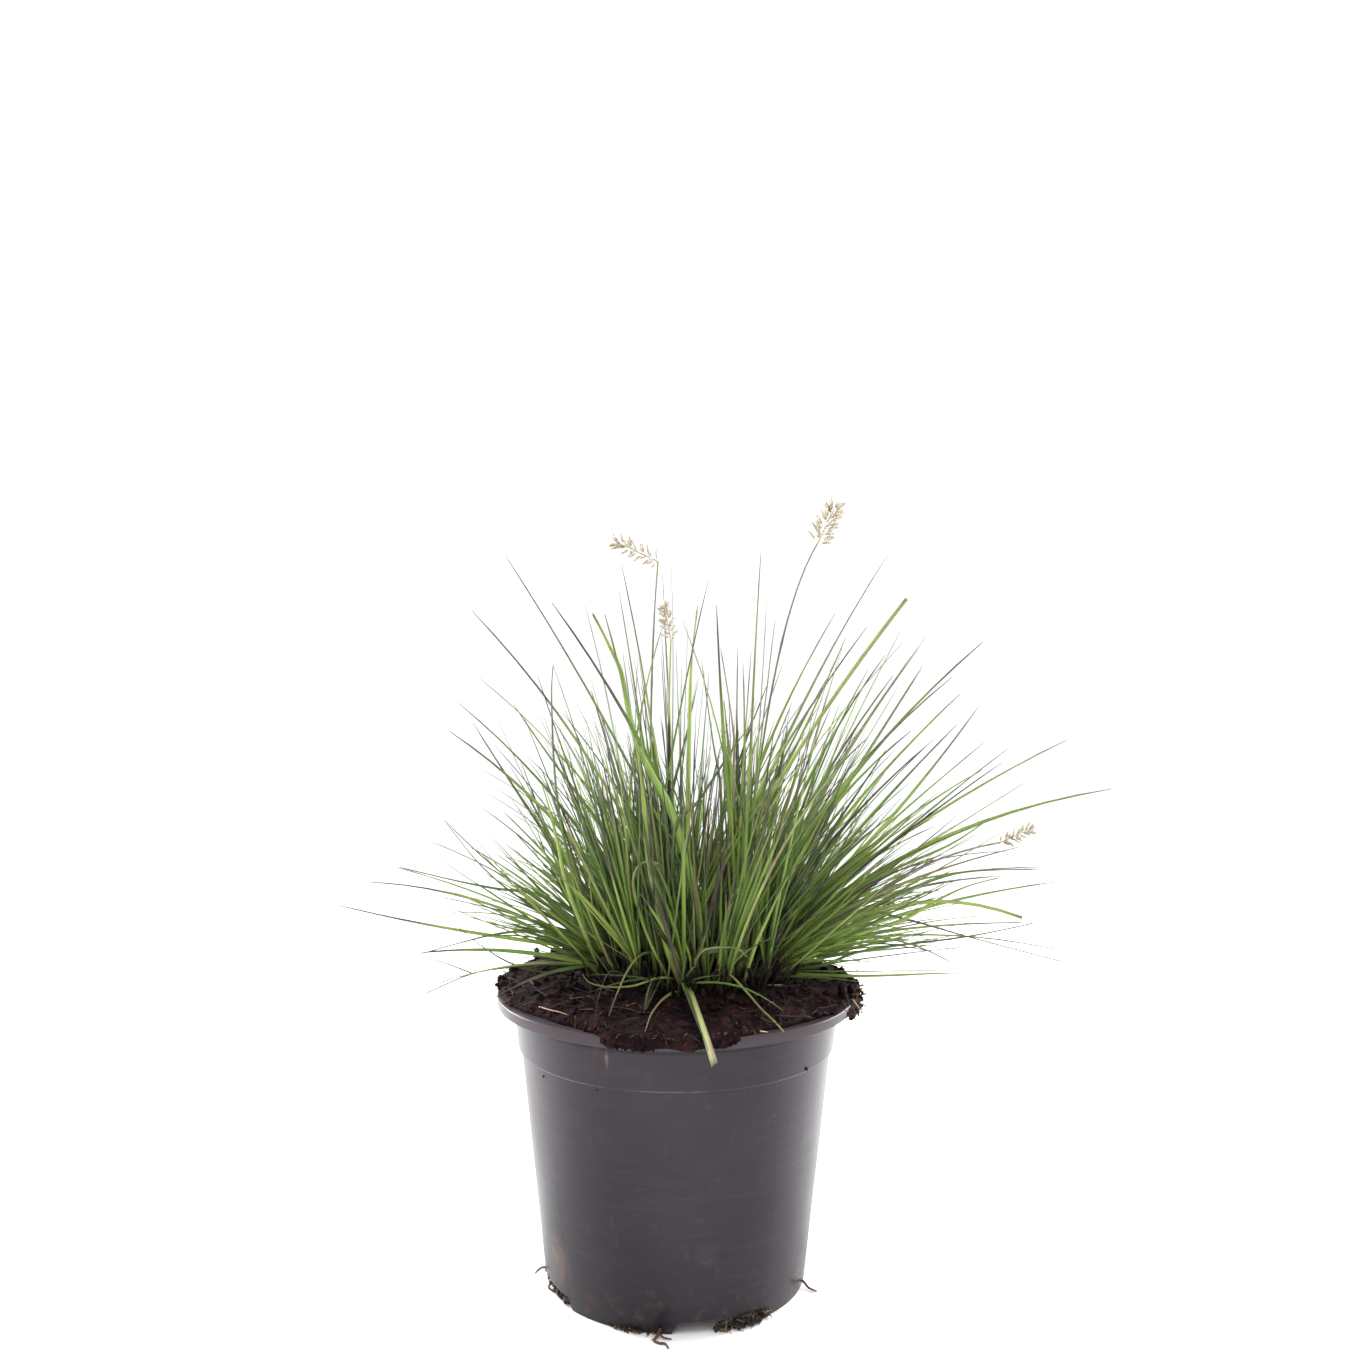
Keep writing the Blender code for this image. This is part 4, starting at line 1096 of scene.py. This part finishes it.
# %% The pot's section
BASE_RADIUS, WALL_TOP_RADIUS, COLLAR_TOP_RADIUS = 0.071, 0.0829, 0.0868
COLLAR_BOTTOM, COLLAR_STEP, LIP_DEPTH, WALL, POT_FLOOR = 0.130, 0.0016, 0.0055, 0.0012, 0.0020
PAD_RADIUS, CHANNEL_HEIGHT, FOOT_RING = 0.054, 0.009, 0.0018
POT_TURNS = 192
collar = WALL_TOP_RADIUS + COLLAR_STEP
pot_section = [  # radius and height in metres, and how far the corner is rounded in mm
    (0.0, POT_FLOOR, 0), (PAD_RADIUS - POT_FLOOR, POT_FLOOR, 0.4),
    (PAD_RADIUS - POT_FLOOR + 0.001, CHANNEL_HEIGHT + POT_FLOOR, 0.4),
    (BASE_RADIUS - 0.0002, CHANNEL_HEIGHT + POT_FLOOR, 0.4),
    (WALL_TOP_RADIUS - WALL, COLLAR_BOTTOM + 0.001, 0.4),
    (collar - WALL, COLLAR_BOTTOM + 0.0018, 0.4), (COLLAR_TOP_RADIUS - WALL, POT_HEIGHT - 0.0015, 0.3),
    (COLLAR_TOP_RADIUS + 0.0003, POT_HEIGHT, 0.3), (LIP_RADIUS, POT_HEIGHT, 0.8),
    (LIP_RADIUS, POT_HEIGHT - LIP_DEPTH, 0.45), (LIP_RADIUS - WALL, POT_HEIGHT - LIP_DEPTH, 0.45),
    (LIP_RADIUS - WALL, POT_HEIGHT - 0.0015, 0.4), (COLLAR_TOP_RADIUS, POT_HEIGHT - 0.0015, 0.4),
    (collar, COLLAR_BOTTOM + 0.0006, 0.5), (WALL_TOP_RADIUS, COLLAR_BOTTOM - 0.0002, 0.5),
    (BASE_RADIUS, 0.0, 0.6), (BASE_RADIUS - FOOT_RING, 0.0, 0.4),
    (BASE_RADIUS - FOOT_RING, CHANNEL_HEIGHT, 0.4), (PAD_RADIUS + 0.001, CHANNEL_HEIGHT, 0.4),
    (PAD_RADIUS, 0.0, 0.4), (0.0, 0.0, 0),
]


def rounded(section, steps=3):
    """The same section with each corner replaced by a short curve."""
    smooth = []
    for i, (radius, height, cut) in enumerate(section):
        corner = Vector((radius, height))
        if not cut:
            smooth.append(corner)
            continue
        before, after = (Vector(section[j][:2]) - corner for j in (i - 1, i + 1))
        start = corner + before.normalized() * min(cut * MM, before.length * 0.4)
        end = corner + after.normalized() * min(cut * MM, after.length * 0.4)
        for k in range(steps + 1):
            t = k / steps
            smooth.append(bow(start, corner, end, t))
    return smooth


print(len(rounded(pot_section)), "points round the pot's section")

# %% [markdown]
# The notches are cut with Boolean modifiers while the wall is still a plain turned shape. Only
# then is the lip bent slightly out of round, because cuts and bends mix badly the other way.

# %% Turning and cutting the pot
NOTCH_ANGLES = [math.radians(-70 + 90 * number) for number in range(4)]
NOTCH_FOOT_HALF, NOTCH_TOP_HALF, NOTCH_HEIGHT = 0.026, 0.0225, 0.0065
NOTCH_REACH = (0.060, 0.080)  # from inside the wall to outside it
SHARP_FROM = 40  # degrees between two faces


def notch_block(angle):
    heights = (-3 * MM, NOTCH_HEIGHT)
    flare = (NOTCH_FOOT_HALF - NOTCH_TOP_HALF) / NOTCH_HEIGHT
    bm = bmesh.new()
    bmesh.ops.create_cube(bm, size=1.0)
    for corner in bm.verts:
        z = heights[corner.co.z > 0]
        half = NOTCH_FOOT_HALF - flare * z
        corner.co = Vector((NOTCH_REACH[corner.co.x > 0], math.copysign(half, corner.co.y), z))
    bm.transform(Matrix.Rotation(angle, 4, "Z"))
    mesh = bpy.data.meshes.new("notch_block")
    bm.to_mesh(mesh)
    bm.free()
    block = bpy.data.objects.new("notch_block", mesh)
    bpy.context.scene.collection.objects.link(block)
    return block


def out_of_round(point):
    """The wall bulges to the right and a little to the left, and the lip wavers as well."""
    share = min(1.0, max(0.0, (point.z - COLLAR_BOTTOM) / 0.030)) ** 2
    angle = math.atan2(point.y, point.x)
    radius = math.hypot(point.x, point.y)
    bulge = 2.2 * max(0.0, math.cos(angle)) + 0.9 * max(0.0, -math.cos(angle))
    sway = 0.5 * math.sin(2 * angle + 0.8) + 0.3 * math.sin(3 * angle + 2.1) + 0.2 * math.sin(7 * angle)
    lift = 0.5 * math.sin(2 * angle - 0.5) + 0.25 * math.sin(5 * angle + 1.0)
    out = bulge * (point.z / POT_HEIGHT) * min(1.0, radius / BASE_RADIUS) + sway * share
    return polar(radius + out * MM, angle, point.z + lift * share * MM)


def build_pot(material):
    heap = Heap()
    angles = turns(POT_TURNS)
    points, faces = loft([[polar(max(p.x, 1e-5), a, p.y) for a in angles] for p in rounded(pot_section)])
    heap.add(points, [face[::-1] for face in faces])
    pot = heap.piece("nursery_pot", material, "pot_plastic", "pot")
    blocks = [notch_block(angle) for angle in NOTCH_ANGLES]
    for block in blocks:
        cut = pot.modifiers.new("notch", "BOOLEAN")
        cut.object, cut.operation = block, "DIFFERENCE"
    shape = bpy.data.meshes.new_from_object(pot.evaluated_get(bpy.context.evaluated_depsgraph_get()))
    pot.modifiers.clear()
    pot.data = shape
    for block in blocks:
        bpy.data.objects.remove(block, do_unlink=True)
    for corner in shape.vertices:
        corner.co = out_of_round(corner.co)
    shape.set_sharp_from_angle(angle=math.radians(SHARP_FROM))
    return pot


# %% [markdown]
# The plastic is dark grey with a breath of violet, satin, and far from clean. Its grey is painted
# darker towards the foot: painted shade. Faint streaks run round it, the edge of the collar carries a
# thin pale line, a painted highlight with some wear, a near-black stripe in the corner under the lip
# is painted shade, and dust lies on the lip. A round rub mark, dribbles of dirt under the lip, two
# scratches and a brown stain face the front. Each is placed by its height or by its distance from a
# spot on the wall.

# %% Pot material
PALE = (0.200, 0.185, 0.190)
LIP_DUST = (0.1535, 0.1560)
# Heights of a near-black stripe round the collar just under the lip: painted shade.
UNDER_LIP_SHADE = (0.1492, 0.1505, 0.1520, 0.1530)
# Heights of a pale line on the collar's edge: a painted highlight, partly wear.
EDGE_HIGHLIGHT_AND_WEAR = (0.1298, 0.1302, 0.1308, 0.1313)
POT_MARKS = (  # spot on the wall, radii of its middle and its faded edge, upright stretch, strength, colour
    ((0.0164, -0.0730, 0.0427), 0.0030, 0.0085, 1, 0.20, (0.070, 0.068, 0.082)),
    ((-0.0373, -0.0769, 0.1430), 0.0006, 0.0019, 5, 0.85, (0.030, 0.014, 0.010)),
    ((-0.0388, -0.0769, 0.1500), 0.0006, 0.0021, 3, 0.70, (0.050, 0.022, 0.015)),
    ((-0.0333, -0.0789, 0.1457), 0.0003, 0.0014, 5, 0.60, (0.230, 0.140, 0.095)),
    ((-0.0316, -0.0693, 0.0583), 0.0002, 0.0011, 8, 0.08, PALE),
    ((-0.0291, -0.0695, 0.0489), 0.0002, 0.0010, 7, 0.08, PALE),
    ((-0.0612, -0.0395, 0.0240), 0.0040, 0.0140, 1.5, 0.70, (0.085, 0.050, 0.042)),
)


def pot_finish():
    pot = Finish("nursery_plastic")
    cloud = pot.noise(13.0, 4.0, 0.55)
    height = pot.node("ShaderNodeSeparateXYZ", {0: pot.place}).outputs[2]
    # Painted shade: the wall's grey is darker towards the foot and lighter high up.
    lower = pot.ramp(cloud, (0.32, (0.0060, 0.0038, 0.0072)), (0.68, (0.0135, 0.0092, 0.0155)))
    upper = pot.ramp(cloud, (0.32, (0.0145, 0.0090, 0.0165)), (0.68, (0.0260, 0.0170, 0.0270)))
    grey = pot.blend(pot.band(height, 0.010, 0.130), lower, upper)
    streaks = pot.noise(22.0, 5.0, 0.7, pot.stretched((1.0, 1.0, 12.0)))
    grey = pot.blend(pot.band(streaks, 0.48, 0.75, 0.0, 0.12), grey, (0.060, 0.050, 0.060))
    dust = pot.noise(150.0, 5.0, 0.7)
    grey = pot.blend(pot.band(dust, 0.57, 0.75, 0.0, 0.13), grey, (0.110, 0.095, 0.098))
    grey = pot.blend(pot.band(height, *LIP_DUST, 0.0, 0.45), grey, (0.085, 0.064, 0.070))
    # A near-black stripe under the lip: painted shade.
    grey = pot.blend(pot.stripe(height, *UNDER_LIP_SHADE), grey, (0.006, 0.004, 0.004))
    patches = pot.band(pot.noise(26.0, 4.0, 0.6), 0.44, 0.66, 0.06, 0.60)
    # A pale, noise-broken line on the collar's edge: a painted highlight, partly wear.
    grey = pot.blend(pot.times(pot.stripe(height, *EDGE_HIGHLIGHT_AND_WEAR), patches), grey, PALE)
    splash = pot.times(pot.band(dust, 0.50, 0.64), pot.band(height, 0.003, 0.026, 0.7, 0.0))
    grey = pot.blend(splash, grey, (0.050, 0.026, 0.018))
    patchy = pot.band(dust, 0.40, 0.58, 0.40, 1.0)
    for spot, inner, outer, stretch, strength, colour in POT_MARKS:
        x, y, z = out_of_round(Vector(spot))
        close = pot.near((x, y, z / stretch), inner, outer, pot.stretched((1, 1, 1 / stretch)))
        grey = pot.blend(pot.times(close, pot.times(patchy, strength)), grey, colour)
    rough = pot.sum("ADD", pot.band(cloud, 0.3, 0.7, 0.33, 0.45), pot.times(splash, 0.4))
    wavy = pot.bump(pot.sum("MULTIPLY_ADD", streaks, 1.0, pot.times(dust, 0.3)), 0.00008)
    return pot.finish(Base_Color=grey, Roughness=rough, Normal=wavy, Specular_IOR_Level=0.10,
                      Coat_Weight=0.35, Coat_Roughness=0.23)


nursery_pot = build_pot(pot_finish())
print("pot faces", len(nursery_pot.data.polygons))

# %% [markdown]
# ## Roots at the foot
# Roots and peat push out at the pot's foot: a low brown mat at the front left, a thicker dark
# clump in the front notch, and single curled roots at the sides. The mats are heaps of crumbs
# held by short roots. The single roots are drawn through a few points each. Peat also blocks the
# notch on the left, and three crumbs stick to the wall.

# %% Root mats
ROOT_MATS = (  # node, middle angle, half-angle, depth, height, crumbs, their largest size, lightest, roots
    ("root_mat_left", -108, 11.5, 0.0040, 0.0016, 260, 0.0014, 0.34, 16),
    ("root_mat_right", -60, 13, 0.0070, 0.0050, 330, 0.0020, 0.10, 90),
)
MAT_TONES = (0.05, 0.10, 0.15, 0.30, 0.60)
TUCKED_IN = 1.5 * MM  # how far a mat reaches under the wall


def on_floor(points):
    """The same points, with those below the floor lifted onto it."""
    return [Vector((p.x, p.y, max(p.z, 0.1 * MM))) for p in points]


def build_root_mat(node, middle, half, depth, height, count, largest, lightest, roots):
    rng = random.Random(node)
    heap = Heap("tone")
    for _ in range(count):
        t = rng.uniform(-1, 1)
        ragged = 0.8 + 0.9 * noise.noise(Vector((t * 3.2, depth * 1000, 0)))
        swell = (1 - 0.7 * abs(t) ** 1.5) * ragged * (0.85 - 0.25 * t)
        out, up = rng.random() ** 1.4, rng.random() ** 1.2
        radius = BASE_RADIUS - TUCKED_IN + (depth + TUCKED_IN) * swell * out
        rise = 0.6 * MM + height * swell * up * (1 - 0.6 * out)
        place = polar(radius, math.radians(middle + half * t), rise)
        points, faces = crumb(rng, place, rng.uniform(0.6 * MM, largest))
        heap.add(on_floor(points), faces, tone=rng.uniform(0.0, lightest))
    for _ in range(roots):
        t = rng.uniform(-1, 1)
        place = polar(BASE_RADIUS + rng.uniform(-1, 3) * MM, math.radians(middle + half * t),
                      rng.uniform(0.5, height / MM) * MM)
        way = polar(1, math.radians(middle) + rng.uniform(-1.5, 1.5), rng.uniform(-0.5, 0.3))
        line = wandering_line(rng, place, way, rng.uniform(3, 7) * MM, 7, 0.9)
        radius = rng.uniform(0.18, 0.36) * MM
        points, faces = tube([Vector((p.x, p.y, max(p.z, 0.5 * MM))) for p in line],
                             [radius * (1 - 0.08 * i) for i in range(8)], 5)
        heap.add(on_floor(points), faces, tone=rng.choice(MAT_TONES))
    return heap.piece(node + "_roots", root_fibre, "peat", node)


mats = [build_root_mat(*row) for row in ROOT_MATS]
print(len(mats), "root mats")

# %% Single roots
SINGLE_ROOTS = (  # points in mm, thickness in mm, tone
    (((-66, -9, 5.0), (-70, -10, 6.0), (-73, -10, 5.6), (-75, -10.5, 4.4), (-76.5, -11, 2.8)), 0.50, 0.48),
    (((-62, -22, 4.0), (-66, -22, 3.0), (-68, -23.5, 1.6), (-66, -26, 0.8), (-62, -28, 1.2)), 0.50, 0.42),
    (((-60, -28, 3.0), (-63, -30, 1.6), (-61, -34, 0.7), (-57, -38, 0.7)), 0.40, 0.30),
    (((66, -17, 3.5), (69.5, -20, 2.6), (72, -23.5, 1.0), (76, -27, 0.7)), 0.50, 0.40),
    (((-7, -70, 3.0), (-8.5, -74, 1.4), (-10.2, -78, 0.7), (-7.6, -80.5, 0.7), (-4.6, -81.6, 1.0),
      (-3.0, -85.5, 0.7)), 0.60, 0.40),
    (((-8, -73, 2.2), (-5.5, -76, 1.2), (-1.5, -76.5, 0.7)), 0.40, 0.34),
)
NOTCH_CRUMBS = (0, 26, 26, 150)  # peat in each notch: the one on the left is blocked
STUCK_CRUMBS = (  # on the wall: place and size in mm
    ((-38.6, -73.1, 128.0), 1.6), ((-67.1, -47.9, 126.3), 2.0), ((66.3, -52.5, 132.1), 2.4),
)


def build_single_roots():
    rng = random.Random(2)
    heap = Heap("tone")
    for marks, thickness, tone in SINGLE_ROOTS:
        line = smooth_line([in_mm(mark) for mark in marks])
        count = len(line)
        radii = [thickness * 1.6 * MM * (1 - 0.5 * i / count) * rng.uniform(0.85, 1.1) for i in range(count)]
        points, faces = tube(line, radii, 6)
        heap.add(on_floor(points), faces, tone=tone)
    for angle, crumbs_there in zip(NOTCH_ANGLES, NOTCH_CRUMBS):
        for _ in range(crumbs_there):
            turn = angle + math.radians(rng.uniform(-17, 17))
            place = polar(BASE_RADIUS + rng.uniform(-5.0, -0.5) * MM, turn, rng.uniform(1, 6) * MM)
            points, faces = crumb(rng, place, rng.uniform(1.2, 3.0) * MM)
            heap.add(on_floor(points), faces, tone=rng.uniform(0.0, 0.35))
    for place, size in STUCK_CRUMBS:
        heap.add(*crumb(rng, out_of_round(in_mm(place)), size * MM), tone=0.0)
    return heap.piece("single_roots", root_fibre, "peat")


single_roots = build_single_roots()
print("roots at the foot", sum(len(piece.data.polygons) for piece in (*mats, single_roots)), "faces")

# %% [markdown]
# ## Flowering stems
# The four flowering stems are thin, round and stiff, with a slight knot where a leaf once sat.
# A tube along the plain stem's line with a few rings swollen is all it takes.

# %% Stem material
def stem_finish():
    stem = Finish("stem_skin")
    along = stem.number("along")
    green = stem.ramp(
        along, (0.0, (0.10, 0.13, 0.05)), (0.35, (0.15, 0.17, 0.09)), (0.7, (0.15, 0.13, 0.13)),
        (1.0, (0.26, 0.24, 0.16)),
    )
    streaks = stem.noise(260.0, 2.0, 0.5, stem.stretched((1, 1, 0.12)))
    green = stem.blend(stem.band(streaks, 0.45, 0.7, 0.0, 0.5), green, (0.10, 0.055, 0.060))
    fresh = stem.ramp(streaks, (0.3, (0.20, 0.28, 0.05)), (0.7, (0.34, 0.40, 0.10)))
    green = stem.blend(stem.number("fresh"), green, fresh)
    green = stem.blend(stem.number("dark"), green, (0.020, 0.012, 0.016))
    return stem.finish(Base_Color=green, Roughness=stem.band(streaks, 0.3, 0.7, 0.4, 0.6),
                       Normal=stem.bump(streaks, 0.0001))


stem_skin = stem_finish()
print("stem material:", len(stem_skin.node_tree.nodes), "nodes")

# %% The stems
STEMS = (  # name, foot, half-way up, top, end of the flower head, in mm
    ("left", (-12, -4), (-13, -2, 300), (-9, 0, 391), (-35, -5, 403)),
    ("right", (36, 16), (53, 18, 320), (78, 20, 401), (89, 22, 424)),
    ("middle", (0, -16), (-3, -18, 270), (-2, -20, 350), (-6, -20, 371)),
    ("low", (61, -14), (113, -12, 218), (174, -10, 241), (193, -10, 250)),
)
STEM_RADIUS, STEM_SIDES = 0.75 * MM, 8
STEM_SHARES = [i / 40 for i in range(41)]
KNOTS, KNOT_HALF = (0.22, 0.62), 0.012
DARK_BELOW = {"middle": 0.312}  # the height up to which a stem is dark and sheathed


def stem_line(row):
    _, foot, half_way, top, _ = row
    low, passing, high = in_mm((*foot, CROWN_TOP / MM + 0.3)), in_mm(half_way), in_mm(top)
    crest = passing * 2 - (low + high) / 2
    return [bow(low, crest, high, t) for t in STEM_SHARES]


def build_stem(row):
    heap = Heap("along", "fresh", "dark")
    line = stem_line(row)
    dark_below = DARK_BELOW.get(row[0], 0.0)
    dark = [min(1.0, max(0.0, (dark_below - point.z) / (8 * MM))) for point in line]
    radii = []
    for t, share in zip(STEM_SHARES, dark):
        swelling = sum(math.exp(-((t - knot) / KNOT_HALF) ** 2) for knot in KNOTS)
        radii.append(STEM_RADIUS * (1 - 0.35 * t) * (1 + 0.45 * swelling) * (1 + 0.5 * share))
    along, dark = ([value for value in values for _ in range(STEM_SIDES)] for values in (STEM_SHARES, dark))
    heap.add(*tube(line, radii, STEM_SIDES), along=along, dark=dark, fresh=0.8 if dark_below else 0.0)
    return heap.piece(f"stem_{row[0]}", stem_skin, "stem", f"flower_stem_{row[0]}")


stems = [build_stem(row) for row in STEMS]
print(len(stems), "stems")

# %% [markdown]
# ## Flower heads
# A head is a loose brush: pale pointed spikelets stand off a thin core at a slant, and fine
# bristles reach past them. Each spikelet is a small spindle with a crease down its face, and two
# or three of them share one foot.

# %% Flower head material
def plume_finish():
    plume = Finish("dry_spikelet")
    along, tone = plume.number("along"), plume.number("tone")
    mixed = plume.sum("MULTIPLY_ADD", plume.noise(500.0, 2.0), 0.35, plume.sum("SUBTRACT", tone, 0.17))
    cream = plume.ramp(
        mixed, (0.0, (0.42, 0.35, 0.23)), (0.35, (0.64, 0.56, 0.41)), (0.7, (0.82, 0.75, 0.61)),
        (1.0, (0.88, 0.83, 0.73)),
    )
    cream = plume.blend(plume.band(along, 0.02, 0.35, 0.50, 0.0), cream, (0.26, 0.22, 0.10))
    streaks = plume.sum("SINE", plume.times(plume.number("across"), 19.0))
    cream = plume.blend(plume.band(streaks, 0.3, 1.0, 0.0, 0.35), cream, (0.30, 0.22, 0.11))
    return plume.finish(Base_Color=cream, Roughness=plume.band(mixed, 0.2, 0.8, 0.6, 0.85),
                        Normal=plume.bump(streaks, 0.0001))


dry_spikelet = plume_finish()
print("flower head material:", len(dry_spikelet.node_tree.nodes), "nodes")

# %% One spikelet
# Where along a spikelet each ring lies and how wide it is. A ring has a crease between two ridges.
SPINDLE = ((0, 0.20), (0.12, 0.7), (0.35, 1.0), (0.6, 0.9), (0.82, 0.5), (1.0, 0.05))
CREASED_RING = ((1, 0), (0.5, 0.75), (0, 0.45), (-0.5, 0.75), (-1, 0), (0, -0.8))


def spikelet(foot, way, side, length, width):
    """A small creased spindle with a sharp tip."""
    inward = way.cross(side)
    rings, along = [], []
    for t, swell in SPINDLE:
        middle, half = foot + way * length * t, width / 2 * swell
        rings.append([middle + side * half * u + inward * half * v for u, v in CREASED_RING])
        along += [t] * len(CREASED_RING)
    return *loft(rings), along, [u for u, _ in CREASED_RING] * len(SPINDLE)


print("corners of a spikelet", len(SPINDLE) * len(CREASED_RING))

# %% The flower heads
PLUMES = {  # number of feet, size of the spikelets, length of their stalks
    "left": (28, 1.05, 1.7 * MM), "right": (31, 1.22, 2.8 * MM), "middle": (22, 0.96, 1.3 * MM),
    "low": (20, 0.90, 1.1 * MM),
}
NEXT_TURN = 2.4  # radians from one foot to the next round the core
BRISTLE_RADII = [0.08 * MM, 0.07 * MM, 0.05 * MM, 0.02 * MM]


def build_plume(row):
    name, _, _, top, end = row
    count, size, stalk = PLUMES[name]
    rng = random.Random("plume " + name)
    start, end = in_mm(top), in_mm(end)
    axis = (end - start).normalized()
    side = axis.orthogonal().normalized()
    heap = Heap("along", "across", "tone")
    length = (end - start).length - 4.5 * MM * size
    core = [start + axis * length * i / 10 for i in range(11)]
    core_radii = [STEM_RADIUS * (0.55 - 0.30 * i / 10) for i in range(11)]
    heap.add(*tube(core, core_radii, 6), along=0.1, across=0.0, tone=0.30)
    for number in range(count):
        t = number / (count - 1)
        turn = number * NEXT_TURN + rng.uniform(-0.35, 0.35)
        out = Matrix.Rotation(turn, 3, axis) @ side
        way = (out * (1.10 - 0.50 * t) + axis * (0.55 + 0.35 * t) + stray(rng, 0.2)).normalized()
        joint = start + axis * length * t
        foot = joint + way * stalk
        stalk_line = [joint, (joint + foot) / 2, foot]
        heap.add(*tube(stalk_line, [0.16 * MM] * 3, 4), along=0.1, across=0.0, tone=0.35)
        reach = 5.8 * MM * size * (0.8 + 0.8 * t * (1 - t)) * rng.uniform(0.85, 1.15)
        tone = rng.uniform(0.2, 1.0)
        edge = way.cross(out.cross(axis) + axis * 0.01).cross(way).normalized()
        for lean in (-0.30, 0.30) if number % 4 else (0.0,):
            leaned = (way + edge * lean).normalized()
            points, faces, along, across = spikelet(foot, leaned, edge, reach * rng.uniform(0.85, 1.0),
                                                    1.7 * MM * size)
            heap.add(points, faces, along=along, across=across, tone=tone + rng.uniform(-0.15, 0.15))
        for _ in range(2):
            aside = (way + stray(rng, 0.4)).normalized()
            bristle = [foot + aside * reach * 1.3 * share for share in (0, 0.4, 0.75, 1.0)]
            heap.add(*tube(bristle, BRISTLE_RADII, 3), along=0.8, across=0.0, tone=rng.uniform(0.6, 1.0))
    return heap.piece(f"flower_head_{name}", dry_spikelet, "plume", f"flower_plume_{name}")


plumes = [build_plume(row) for row in STEMS]
print("flower head faces", [len(piece.data.polygons) for piece in plumes])
